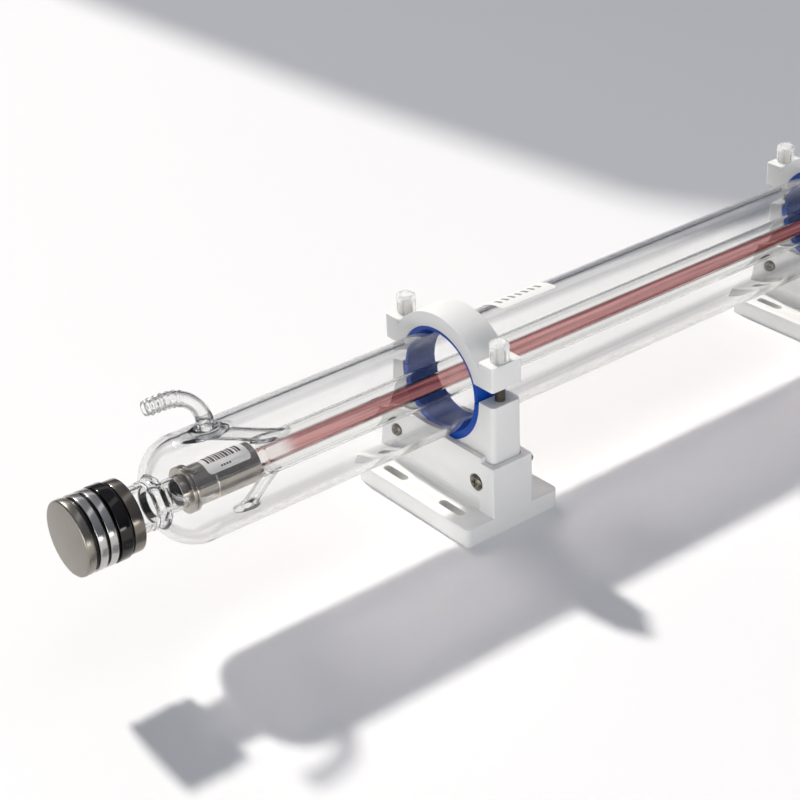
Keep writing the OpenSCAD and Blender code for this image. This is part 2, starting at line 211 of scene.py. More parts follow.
def blend(tree: Tree, factor: Socket, first: Colour, second: Colour) -> Socket:
    """Blends two colours.

    Args:
        tree: The node tree.
        factor: How far the blend has gone from the first to the second.
        first: The first colour.
        second: The second colour.

    Returns:
        The blended colour.
    """
    settings = {"data_type": "RGBA", 6: (*first, 1.0), 7: (*second, 1.0)}
    return add_node(tree, "Mix", settings, {"Factor": factor}).outputs[2]


def ramp(tree: Tree, factor: Socket, stops: Sequence[tuple[float, Colour]]) -> Socket:
    """Looks a colour up on a scale of colours.

    Args:
        tree: The node tree.
        factor: The place on the scale.
        stops: Places and their colours, in rising order.

    Returns:
        The colour.
    """
    node = add_node(tree, "ValToRGB", links={"Fac": factor})
    elements = node.color_ramp.elements
    for k, (place, colour) in ((0, stops[0]), (1, stops[-1])):
        elements[k].position, elements[k].color = place, (*colour, 1.0)
    for place, colour in stops[1:-1]:
        elements.new(place).color = (*colour, 1.0)
    return node.outputs["Color"]


def principled(
    tree: Tree,
    base: Colour | Socket,
    settings: dict[str | int, object],
    links: dict[str | int, Socket] | None = None,
) -> Socket:
    """Adds the general surface shader.

    Args:
        tree: The node tree.
        base: The colour, or the output that gives it.
        settings: Its other sockets, with their values.
        links: Its other sockets, with the outputs they are fed from.

    Returns:
        The shader's output.
    """
    node = add_node(tree, "BsdfPrincipled", settings, links)
    if isinstance(base, Socket):
        tree.links.new(base, node.inputs["Base Color"])
    else:
        node.inputs["Base Color"].default_value = (*base, 1.0)
    return node.outputs["BSDF"]


def mixed(tree: Tree, factor: Socket, first: Socket, second: Socket) -> Socket:
    """Mixes two shaders.

    Args:
        tree: The node tree.
        factor: 0 for the first shader, 1 for the second.
        first: The first shader.
        second: The second shader.

    Returns:
        The mixed shader.
    """
    links = {"Fac": factor, 1: first, 2: second}
    return add_node(tree, "MixShader", links=links).outputs["Shader"]


# ---------------------------------------------------------------- finishes


@dataclass(frozen=True)
class Finish:
    """A material, named after what it is and how it was worked.

    Args:
        name: The material's name.
        colour: Its colour.
    """

    name: str
    colour: Colour

    def surface(self, tree: Tree) -> Socket:
        """Builds the surface; a plain see-through film unless a kind of finish says otherwise.

        Args:
            tree: The material's node tree.

        Returns:
            The shader's output.
        """
        settings = {"Color": (*self.colour, 1.0)}
        return add_node(tree, "BsdfTransparent", settings).outputs["BSDF"]

    def build(self) -> bpy.types.Material:
        """Builds the material.

        Returns:
            The material.
        """
        material = bpy.data.materials.new(self.name)
        material.use_nodes = True
        tree = material.node_tree
        tree.nodes.clear()
        add_node(tree, "OutputMaterial", links={"Surface": self.surface(tree)})
        return material


@dataclass(frozen=True)
class Flat(Finish):
    """Flat paint, ink or film.

    Args:
        roughness: Its roughness.
        shine: Its specular level.
    """

    roughness: float = 0.35
    shine: float = 0.5

    def surface(self, tree: Tree) -> Socket:
        """Builds an even surface.

        Args:
            tree: The material's node tree.

        Returns:
            The shader's output.
        """
        settings = {"Roughness": self.roughness, "Specular IOR Level": self.shine}
        return principled(tree, self.colour, settings)


@dataclass(frozen=True)
class Moulded(Finish):
    """Injection-moulded plastic with a fine satin grain.

    Args:
        roughness: The middle of its roughness.
        grain_mm: Depth of the mould's grain.
    """

    roughness: float = 0.42
    grain_mm: float = 0.012

    def surface(self, tree: Tree) -> Socket:
        """Builds a grained surface that light soaks into a little.

        Args:
            tree: The material's node tree.

        Returns:
            The shader's output.
        """
        fine = object_noise(tree, (900, 900, 900), 2.0)
        slow = object_noise(tree, (28, 28, 28), 2.0)
        settings = {
            "Subsurface Weight": 0.12,
            "Subsurface Radius": (0.003, 0.0028, 0.0025),
            "IOR": 1.49,
        }
        links = {
            "Roughness": remap(tree, slow, self.roughness - 0.04, self.roughness + 0.05),
            "Normal": bump(tree, fine, self.grain_mm),
        }
        return principled(tree, self.colour, settings, links)


@dataclass(frozen=True)
class Rubber(Finish):
    """Smooth moulded rubber.

    Args:
        roughness: Its roughness.
        painted_glow: How much of its colour it gives off as a painted glow, though it is no lamp.
    """

    roughness: float = 0.4
    painted_glow: float = 0.0

    def surface(self, tree: Tree) -> Socket:
        """Builds a dull surface with a fine grain and a painted glow of its own colour.

        Args:
            tree: The material's node tree.

        Returns:
            The shader's output.
        """
        settings = {
            "Roughness": self.roughness,
            "IOR": 1.5,
            "Specular IOR Level": 0.3,
            # painted glow: it gives off its own colour, which brightens it though it is no lamp
            "Emission Color": (*self.colour, 1.0),
            "Emission Strength": self.painted_glow,
        }
        grain = bump(tree, object_noise(tree, (500, 500, 500), 3.0), 0.02)
        return principled(tree, self.colour, settings, {"Normal": grain})


@dataclass(frozen=True)
class Glass(Finish):
    """Drawn borosilicate glass that lets light through to the floor.

    Args:
        colour: The tint of the glass.
        edge: The painted shade laid on it in bands where the eye looks along the wall at a slant,
            for the dark lines that surroundings leave along a glass wall.
        ior: Its index against what fills the space beside it.
        shadow: How much light it lets through to what is behind it, for each colour.
        rim: How much of that is left where light only grazes it.
        waviness_mm: Depth of the slow waves left by drawing the tube.
        band: Slants between which the band of painted shade rises, stays and falls again.
        gloss: Extra shine of its surface, for walls with a low index.
    """

    colour: Colour = (0.968, 0.968, 0.964)
    edge: Colour = (0.3, 0.31, 0.32)
    ior: float = 1.47
    shadow: Colour = (0.66, 0.65, 0.66)
    rim: float = 0.45
    waviness_mm: float = 0.01
    band: tuple[float, float, float, float] = (0.32, 0.47, 0.56, 0.68)
    gloss: float = 0.0

    def surface(self, tree: Tree) -> Socket:
        """Builds wavy glass with bands of painted shade along its edges.

        Args:
            tree: The material's node tree.

        Returns:
            The shader's output.
        """
        slant = add_node(tree, "LayerWeight", {"Blend": 0.5}).outputs["Facing"]
        # painted shade: the glass's colour darkens in bands by slant, for the dark lines along its
        # edges
        painted_edge_tints = (self.colour, self.edge, self.edge, self.colour, self.colour, self.edge)
        settings = {
            "Roughness": 0.0,
            "IOR": self.ior,
            "Transmission Weight": 1.0,
            "Coat Weight": self.gloss,
            "Coat IOR": 1.5,
        }
        waves = bump(tree, object_noise(tree, (60, 9, 60), 1.0), self.waviness_mm)
        tint = ramp(tree, slant, list(zip((*self.band, 0.93, 1.0), painted_edge_tints)))
        glass = principled(tree, tint, settings, {"Normal": waves})
        # light that strikes the wall at a slant is bent away, so its shadow is deeper there
        power = add_node(tree, "Math", {"operation": "POWER", 1: 1.6}, {0: slant})
        dim = blend(tree, power.outputs["Value"], self.shadow, scaled(self.shadow, self.rim))
        clear = add_node(tree, "BsdfTransparent", links={"Color": dim}).outputs["BSDF"]
        shaded = add_node(tree, "LightPath").outputs["Is Shadow Ray"]
        return mixed(tree, shaded, glass, clear)


@dataclass(frozen=True)
class ClearPlastic(Finish):
    """Translucent moulded plastic.

    Args:
        cloud: How much of it scatters light rather than passing it.
    """

    cloud: float = 0.5

    def surface(self, tree: Tree) -> Socket:
        """Builds a smooth, slightly wavy surface with a faint painted glow of its own colour.

        Args:
            tree: The material's node tree.

        Returns:
            The shader's output.
        """
        settings = {
            "Roughness": 0.08,
            "IOR": 1.3,
            "Transmission Weight": 1.0 - self.cloud,
            # painted glow: the plastic gives off a little of its own colour, though it is no lamp
            "Emission Color": (*self.colour, 1.0),
            "Emission Strength": 0.1,
        }
        waves = bump(tree, object_noise(tree, (160, 160, 160), 2.0), 0.05)
        return principled(tree, self.colour, settings, {"Normal": waves})


@dataclass(frozen=True)
class Metal(Finish):
    """Metal with a directional finish from rolling, brushing or turning.

    Args:
        roughness: The middle of its roughness.
        spread: How far the roughness strays either way.
        strokes: Waves per metre of the finish along X, Y and Z.
        depth_mm: Depth of the finish.
        shade: How far the finish darkens the colour at its deepest.
    """

    roughness: float = 0.25
    spread: float = 0.05
    strokes: tuple[float, float, float] = (300, 300, 300)
    depth_mm: float = 0.004
    shade: float = 0.15

    def surface(self, tree: Tree) -> Socket:
        """Builds metal whose strokes change its tone, roughness and relief.

        Args:
            tree: The material's node tree.

        Returns:
            The shader's output.
        """
        finish = object_noise(tree, self.strokes, 4.0, 0.6)
        smooth = max(self.roughness - self.spread, 0.02)
        links = {
            "Roughness": remap(tree, finish, smooth, self.roughness + self.spread),
            "Normal": bump(tree, finish, self.depth_mm),
        }
        tone = blend(tree, finish, scaled(self.colour, 1 - self.shade), self.colour)
        return principled(tree, tone, {"Metallic": 1.0}, links)


@dataclass(frozen=True)
class FacedMetal(Finish):
    """A face cut on a lathe: fine rings about the tube's axis.

    Args:
        axis_height: Height of the axis the rings run round, in metres.
        roughness: The middle of its roughness.
        rings: Waves per metre across the rings.
    """

    axis_height: float
    roughness: float = 0.3
    rings: float = 2600.0

    def surface(self, tree: Tree) -> Socket:
        """Builds metal whose rings change its roughness and relief.

        Args:
            tree: The material's node tree.

        Returns:
            The shader's output.
        """
        flat = add_node(tree, "TexCoord").outputs["Object"]
        for operation, operand in (
            ("SUBTRACT", (0.0, 0.0, self.axis_height)),
            ("MULTIPLY", (1.0, 0.0, 1.0)),
        ):
            settings = {"operation": operation, 1: operand}
            flat = add_node(tree, "VectorMath", settings, {0: flat}).outputs[0]
        radius = add_node(tree, "VectorMath", {"operation": "LENGTH"}, {0: flat})
        settings = {"noise_dimensions": "1D", "Scale": self.rings, "Detail": 3.0}
        links = {"W": radius.outputs["Value"]}
        rings = add_node(tree, "TexNoise", settings, links).outputs["Fac"]
        cloud = object_noise(tree, (70, 70, 70), 3.0)
        tone = blend(tree, cloud, scaled(self.colour, 0.86), self.colour)
        links = {
            "Roughness": remap(tree, rings, self.roughness - 0.06, self.roughness + 0.08),
            "Normal": bump(tree, rings, 0.006),
        }
        return principled(tree, tone, {"Metallic": 1.0}, links)


@dataclass(frozen=True)
class Gas(Finish):
    """Glowing gas that fills the discharge tube, with streaks along it.

    Args:
        colour: Its colour at the labelled end.
        far: Its colour at the other end.
        dark: The colour of its streaks.
        clear: How much light passes each side of it.
        middle: Y of the tube's middle, in metres.
        reach: How far the glow reaches to either side, in metres.
        fade: Length over which it thins out, in metres.
    """

    far: Colour
    dark: Colour
    clear: Colour = (0.54, 0.46, 0.46)
    middle: float = 0.215
    reach: float = 0.372
    fade: float = 0.012

    def surface(self, tree: Tree) -> Socket:
        """Builds the streaky glow that thins out towards both ends of the discharge tube.

        Args:
            tree: The material's node tree.

        Returns:
            The shader's output.
        """
        place = add_node(tree, "TexCoord").outputs["Object"]
        along = add_node(tree, "SeparateXYZ", links={"Vector": place}).outputs["Y"]
        drift = map_range(tree, along, (0.05, 0.4), (0.0, 1.0))
        streaks = remap(tree, object_noise(tree, (330, 5, 330), 3.0, 0.6), -0.7, 1.7)
        settings = {"data_type": "RGBA", 7: (*self.dark, 1.0)}
        links = {"Factor": streaks, 6: blend(tree, drift, self.colour, self.far)}
        tone = add_node(tree, "Mix", settings, links).outputs[2]
        glow = add_node(tree, "Emission", {"Strength": 1.0}, {"Color": tone})
        filtered = add_node(tree, "BsdfTransparent", {"Color": (*self.clear, 1.0)})
        links = {0: glow.outputs["Emission"], 1: filtered.outputs["BSDF"]}
        body = add_node(tree, "AddShader", links=links).outputs["Shader"]
        apart = add_node(tree, "Math", {"operation": "SUBTRACT", 1: self.middle}, {0: along})
        links = {0: apart.outputs["Value"]}
        distance = add_node(tree, "Math", {"operation": "ABSOLUTE"}, links).outputs["Value"]
        ending = map_range(tree, distance, (self.reach - self.fade, self.reach), (0.0, 1.0))
        empty = add_node(tree, "BsdfTransparent").outputs["BSDF"]
        return mixed(tree, ending, body, empty)


@dataclass
class Finishes:
    """Every finish of the object, built once.

    Args:
        axis_height: Height of the tube's axis, in metres.
    """

    axis_height: float
    made: dict[str, bpy.types.Material] = field(default_factory=dict)

    def __post_init__(self) -> None:
        """Builds the materials."""
        turning, polish = (12, 2600, 12), (10, 1500, 10)
        rolling, filing = (900, 14, 900), (200, 200, 200)
        specs = {
            "white": Moulded("white_nylon_moulded", srgb("F1F1EF")),
            "knob": ClearPlastic("acrylic_translucent_moulded", srgb("FBFBFA"), 0.26),
            # the blue rubber gets a painted glow of its own colour
            "blue": Rubber("blue_silicone_moulded", srgb("00409C"), 0.42, 0.17),
            "black": Rubber("black_rubber_seal", srgb("0B0B0B"), 0.35),
            # each glass's edge colour is painted shade laid in bands along its edges; the bore's
            # reddish one is painted shade for the dark rims of the glow
            "envelope": Glass(
                "borosilicate_envelope_drawn",
                edge=(0.62, 0.62, 0.63),
                ior=1.2,
                band=(0.38, 0.45, 0.52, 0.58),
                shadow=(0.42, 0.41, 0.42),
                gloss=0.35,
            ),
            "jacket": Glass(
                "borosilicate_jacket_wet",
                (0.975, 0.975, 0.97),
                (0.74, 0.75, 0.75),
                1.12,
                (0.94, 0.94, 0.94),
                waviness_mm=0.006,
                band=(0.44, 0.5, 0.54, 0.6),
            ),
            "nozzle": Glass("borosilicate_nozzle_lampworked", waviness_mm=0.04),
            "bore": Glass(
                "borosilicate_bore_drawn",
                (0.985, 0.96, 0.955),
                (0.36, 0.15, 0.15),
                1.08,
                (0.9, 0.86, 0.86),
                band=(0.42, 0.47, 0.52, 0.58),
            ),
            "gas": Gas("carbon_dioxide_glow", srgb("8C6462"), srgb("7C5456"), srgb("501A1C")),
            "electrode": Metal(
                "nickel_steel_rolled_brushed", srgb("BDB7AE"), 0.2, 0.05, rolling, 0.002, 0.35
            ),
            "ring": Metal(
                "steel_turned_polished", srgb("C2C0BE"), 0.18, 0.05, turning, 0.003, 0.2
            ),
            "chrome": Metal(
                "dark_chrome_polished", srgb("3E3D3C"), 0.1, 0.04, polish, 0.002, 0.2
            ),
            "face": FacedMetal("steel_faced_brushed", srgb("938E86"), self.axis_height),
            "flange": Metal(
                "steel_turned_grey", srgb("7D776F"), 0.2, 0.05, turning, 0.003, 0.2
            ),
            "screw": Metal("steel_dark_zinc", srgb("7C786C"), 0.3, 0.08, (500, 500, 500), 0.006),
            "bright": Metal("steel_bright_zinc", srgb("B9B7B2"), 0.28, 0.06),
            "optic": Metal("coated_optic_polished", srgb("D8C48A"), 0.05, 0.01),
            "paper": Flat("label_film_white", srgb("F6F6F4")),
            "ink": Flat("label_ink_black", srgb("17181A"), 0.5),
            "faded_ink": Flat("label_ink_grey", srgb("8E9092"), 0.5),
            # brighter than the electrode: used for a weld band and for a painted highlight along
            # the electrode
            "weld": Metal("nickel_steel_weld_polished", srgb("D8D5CF"), 0.2, 0.05, filing),
        }
        self.made = {name: spec.build() for name, spec in specs.items()}

    def dress(self, piece: Object, body: str, slot: str, finish: str, *nodes: str) -> None:
        """Gives a piece its material and its body, and hides the CAD nodes it stands for.

        Args:
            piece: The piece.
            body: The CAD body it moves with.
            slot: The record's material slot; not used.
            finish: The finish's short name.
            *nodes: CAD nodes it replaces.
        """
        piece.data.materials.clear()
        piece.data.materials.append(self.made[finish])
        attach(piece, body)
        if nodes:
            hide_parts(*nodes)


# ---------------------------------------------------------------- geometry helpers


def arc(centre: Point, radius: float, start: float, end: float, steps: int) -> list[Point]:
    """Points on an arc of an outline.

    Args:
        centre: The arc's centre.
        radius: Its radius.
        start: The angle of its first point in degrees; 0 is away from the axis, 90 along it.
        end: The angle of its last point.
        steps: How many pieces it is cut into.

    Returns:
        The points, both ends included.
    """
    angles = [math.radians(start + (end - start) * i / steps) for i in range(steps + 1)]
    return [
        (centre[0] + radius * math.cos(a), centre[1] + radius * math.sin(a)) for a in angles
    ]


def box(inner: float, outer: float, start: float, stop: float) -> list[Point]:
    """The outline of a plain ring.

    Args:
        inner: Its inside radius.
        outer: Its outside radius.
        start: Where it starts along its axis.
        stop: Where it ends.

    Returns:
        Its four corners.
    """
    return [(inner, start), (outer, start), (outer, stop), (inner, stop)]


def rounded(points: Sequence[Point], radius: float, steps: int = 3) -> list[Point]:
    """Rounds every corner of a closed outline that turns by more than ten degrees.

    Args:
        points: The outline.
        radius: The rounding; short sides get less.
        steps: How many pieces each corner is cut into.

    Returns:
        The rounded outline.
    """
    result: list[Point] = []
    for i, point in enumerate(points):
        here = Vector(point)
        before = Vector(points[i - 1]) - here
        after = Vector(points[(i + 1) % len(points)]) - here
        if min(before.length, after.length) < 1e-6 or point[0] < 1e-6:
            result.append(point)
            continue
        turn = math.pi - before.angle(after)
        if turn < math.radians(10):
            result.append(point)
            continue
        cut = min(radius * math.tan(turn / 2), before.length * 0.45, after.length * 0.45)
        first = here + before.normalized() * cut
        last = here + after.normalized() * cut
        for k in range(steps + 1):
            t = k / steps
            spot = first * (1 - t) ** 2 + here * 2 * t * (1 - t) + last * t**2
            result.append((spot.x, spot.y))
    return result


def add_object(name: str, data: bpy.types.ID) -> Object:
    """Puts an object into the scene.

    Args:
        name: Its name.
        data: Its mesh, light or camera.

    Returns:
        The object.
    """
    made = bpy.data.objects.new(name, data)
    bpy.context.scene.collection.objects.link(made)
    return made


def sheet_object(name: str, mesh: Mesh, finish: Finish) -> Object:
    """Turns a flat mesh under construction into an object.

    Args:
        name: The object's name.
        mesh: The mesh; it is freed.
        finish: Its finish.

    Returns:
        The object.
    """
    data = bpy.data.meshes.new(name)
    mesh.to_mesh(data)
    mesh.free()
    data.materials.append(finish.build())
    return add_object(name, data)


def close_object(mesh: Mesh, name: str, sharp_degrees: float = 38.0) -> Object:
    """Turns a mesh under construction into a smooth-shaded object at the origin.

    Args:
        mesh: The mesh; doubled points are merged, faces are turned outwards, and it is freed.
        name: The object's name.
        sharp_degrees: Edges that turn further than this stay sharp.

    Returns:
        The object, in the scene.
    """
    bmesh.ops.remove_doubles(mesh, verts=mesh.verts, dist=1e-6)
    bmesh.ops.recalc_face_normals(mesh, faces=mesh.faces)
    data = bpy.data.meshes.new(name)
    mesh.to_mesh(data)
    mesh.free()
    data.polygons.foreach_set("use_smooth", [True] * len(data.polygons))
    data.set_sharp_from_angle(angle=math.radians(sharp_degrees))
    return add_object(name, data)


def spin(
    mesh: Mesh,
    places: Iterable[Place],
    centre: Place,
    axis: Place,
    steps: int,
    angle: float = math.tau,
) -> None:
    """Spins a closed outline about a line, and closes both ends of a part turn.

    Args:
        mesh: The mesh that gets the faces.
        places: The outline's corners in metres.
        centre: A point of the line, in metres.
        axis: The line's direction.
        steps: How many pieces the turn is cut into.
        angle: The turn, in radians.
    """
    verts = [mesh.verts.new(place) for place in places]
    edges = [mesh.edges.new((verts[i - 1], verts[i])) for i in range(len(verts))]
    full = angle > math.radians(359.99)
    if not full:
        mesh.faces.new(verts)
    swept = bmesh.ops.spin(
        mesh,
        geom=[*verts, *edges],
        cent=centre,
        axis=axis,
        angle=angle,
        steps=steps,
        use_merge=full,
    )
    if not full:
        mesh.faces.new([v for v in swept["geom_last"] if isinstance(v, Vert)])


def turn_about_y(
    mesh: Mesh,
    outline: Iterable[Point],
    centre: Point,
    segments: int,
    low: float = 0.0,
    high: float = 360.0,
) -> None:
    """Spins a closed outline about a line along Y.

    Args:
        mesh: The mesh that gets the faces.
        outline: (radius, Y) points.
        centre: X and Z of the line, in metres.
        segments: Steps for a full turn.
        low: The first angle in degrees, from +X towards +Z.
        high: The last angle.
    """
    x, z = centre
    cos, sin = math.cos(math.radians(low)), math.sin(math.radians(low))
    places = [(x + r * MM * cos, y * MM, z + r * MM * sin) for r, y in outline]
    steps = max(3, round(segments * (high - low) / 360))
    spin(mesh, places, (x, 0, z), (0, -1, 0), steps, math.radians(high - low))


def turned_z(
    mesh: Mesh,
    outline: Sequence[Point],
    centre: Place,
    segments: int,
    flutes: int = 0,
    flute_mm: float = 0.0,
) -> None:
    """Spins a closed outline about an upright line, with flutes if asked for.

    Args:
        mesh: The mesh that gets the faces.
        outline: (radius, height) points.
        centre: The foot of the line, in metres.
        segments: Steps round the line.
        flutes: Number of flutes.
        flute_mm: Depth of a flute at the outline's widest.
    """
    x, y, z = centre
    start = len(mesh.verts)
    places = [(x + r * MM, y, z + h * MM) for r, h in outline]
    spin(mesh, places, (x, y, z), (0, 0, 1), segments)
    if not flutes:
        return
    widest = max(r for r, _ in outline) * MM
    for v in list(mesh.verts)[start:]:
        if math.hypot(v.co.x - x, v.co.y - y) < 0.7 * widest:
            continue
        angle = math.atan2(v.co.y - y, v.co.x - x)
        dip = max(0.0, math.cos(flutes * angle)) ** 1.5 * flute_mm * MM
        v.co.x -= math.cos(angle) * dip
        v.co.y -= math.sin(angle) * dip


@dataclass(frozen=True)
class Seat:
    """The round surface that the end of a pipe is fused to.

    Args:
        axis: Height of the surface's axis, which runs along Y.
        radius: Its radius.
        sign: 1 for its upper half, -1 for its lower half.
        reach: Length of pipe over which the rings lean over to the surface.
    """

    axis: float
    radius: float
    sign: int
    reach: float

    def shift(self, end: Vector, offset: Vector, along: Vector, away: float) -> Vector:
        """How far a point slides along the pipe so that the pipe's end lies on the surface.

        Args:
            end: The end of the pipe's centre line, in metres.
            offset: The point's offset from the centre line.
            along: The pipe's direction at that end.
            away: The point's distance from that end, in millimetres.

        Returns:
            The slide, in metres.
        """
        weight = max(0.0, 1.0 - away / self.reach)
        if weight == 0.0:
            return Vector()
        x = (end.x + offset.x) / MM
        height = self.axis + self.sign * math.sqrt(max(self.radius**2 - x * x, 0.0))
        return along * ((height * MM - end.z - offset.z) / along.z * weight)


def swept_pipe(
    mesh: Mesh,
    path: Sequence[Vector],
    outer_mm: Callable[[float], float],
    inner_mm: float,
    segments: int,
    first: Seat,
    last: Seat | None = None,
) -> None:
    """Sweeps a hollow round pipe along a path in the plane X = constant.

    Args:
        mesh: The mesh that gets the faces.
        path: Points of the centre line, in metres.
        outer_mm: Outside radius at a distance in millimetres along the path.
        inner_mm: Inside radius.
        segments: Steps round the pipe.
        first: The surface the path's start is fused to.
        last: The surface the path's end is fused to, if it is.
    """
    across = Vector((1, 0, 0))
    total = sum((b - a).length for a, b in zip(path, path[1:])) / MM
    leaving = (path[1] - path[0]).normalized()
    arriving = (path[-1] - path[-2]).normalized()
    rings: list[tuple[list[Vert], list[Vert]]] = []
    travelled = 0.0
    for i, spot in enumerate(path):
        ahead, behind = path[min(i + 1, len(path) - 1)], path[max(i - 1, 0)]
        up = across.cross((ahead - behind).normalized()).normalized()
        if i:
            travelled += (spot - path[i - 1]).length / MM
        pair: tuple[list[Vert], list[Vert]] = ([], [])
        for ring, radius in zip(pair, (outer_mm(travelled), inner_mm)):
            for k in range(segments):
                a = math.tau * k / segments
                offset = (across * math.cos(a) + up * math.sin(a)) * radius * MM
                point = spot + offset + first.shift(path[0], offset, leaving, travelled)
                if last:
                    point += last.shift(path[-1], offset, arriving, total - travelled)
                ring.append(mesh.verts.new(point))
        rings.append(pair)
    for k in range(segments):
        n = (k + 1) % segments
        for here, there in zip(rings, rings[1:]):
            for part in (0, 1):
                mesh.faces.new((here[part][k], here[part][n], there[part][n], there[part][k]))
        for ring in (rings[0], rings[-1]):
            mesh.faces.new((ring[0][k], ring[0][n], ring[1][n], ring[1][k]))


def curved_patch(
    mesh: Mesh,
    axis_height: float,
    radius: Point,
    angles: Point,
    along: Point,
    corner: float = 0.0,
) -> None:
    """Adds a thin patch that lies on a round surface about the tube's axis.

    Args:
        mesh: The mesh that gets the faces.
        axis_height: Height of the axis, in metres.
        radius: Its inner and outer radius.
        angles: Its first and last angle in degrees, from +X towards +Z.
        along: Its low and high Y.
        corner: Rounding of its corners.
    """
    low, high = angles
    start, end = along
    columns = 28 if corner else 2
    rows = 20 if high - low > 10 else 3
    arc_mm = math.radians(1) * radius[0]
    layers: list[list[list[Vert]]] = []
    for layer in radius:
        r = layer * MM
        sheet = []
        for i in range(columns + 1):
            y = start + (end - start) * i / columns
            inset = 0.0
            near = min(y - start, end - y)
            if corner and near < corner:
                inset = corner - math.sqrt(max(corner**2 - (corner - near) ** 2, 0.0))
            a0, a1 = low + inset / arc_mm, high - inset / arc_mm
            turns = [math.radians(a0 + (a1 - a0) * k / rows) for k in range(rows + 1)]
            row = [(r * math.cos(a), y * MM, axis_height + r * math.sin(a)) for a in turns]
            sheet.append([mesh.verts.new(place) for place in row])
        layers.append(sheet)
    inner, outer = layers
    for i in range(columns):
        for k in range(rows):
            for sheet in layers:
                here, there = sheet[i], sheet[i + 1]
                mesh.faces.new((here[k], there[k], there[k + 1], here[k + 1]))
        for k in (0, rows):
            mesh.faces.new((inner[i][k], inner[i + 1][k], outer[i + 1][k], outer[i][k]))
    for i in (0, columns):
        for k in range(rows):
            mesh.faces.new((inner[i][k], inner[i][k + 1], outer[i][k + 1], outer[i][k]))


def refined_copy(node: Object, name: str, edge_mm: float, rolled_mm: float) -> Object:
    """Copies a CAD node's shape and rounds its sharp edges as a mould would.

    Args:
        node: The CAD node's object; it isn't changed.
        name: The new object's name.
        edge_mm: Rounding of the edges.
        rolled_mm: Rounding of the foot plate's long top edges, which are rounder.

    Returns:
        The new object.
    """
    near = 1e-5
    sharp = math.radians(32)
    mesh = bmesh.new()
    mesh.from_mesh(node.data)
    bmesh.ops.remove_doubles(mesh, verts=mesh.verts, dist=1e-6)
    bmesh.ops.dissolve_limit(
        mesh,
        angle_limit=math.radians(0.5),
        use_dissolve_boundaries=False,
        verts=mesh.verts,
        edges=mesh.edges,
    )
    if rolled_mm:
        deepest = [pick(v.co.y for v in mesh.verts) for pick in (max, min)]
        rim = [v for v in mesh.verts if min(abs(v.co.y - d) for d in deepest) < near]
        top = max(v.co.z for v in rim)
        rim = {v for v in rim if abs(v.co.z - top) < near}
        outer = [e for e in mesh.edges if rim.issuperset(e.verts)]
        bmesh.ops.bevel(
            mesh, geom=outer, offset=rolled_mm * MM, segments=5, profile=0.5, affect="EDGES"
        )
    edges = [e for e in mesh.edges if len(e.link_faces) == 2 and e.calc_face_angle() > sharp]
    bmesh.ops.bevel(
        mesh,
        geom=edges,
        offset=edge_mm * MM,
        segments=3,
        profile=0.5,
        affect="EDGES",
        clamp_overlap=True,
        material=-1,
    )
    many_sided = [f for f in mesh.faces if len(f.verts) > 4]
    bmesh.ops.triangulate(mesh, faces=many_sided, quad_method="BEAUTY")
    return close_object(mesh, name, 30.0)


# ---------------------------------------------------------------- the tube


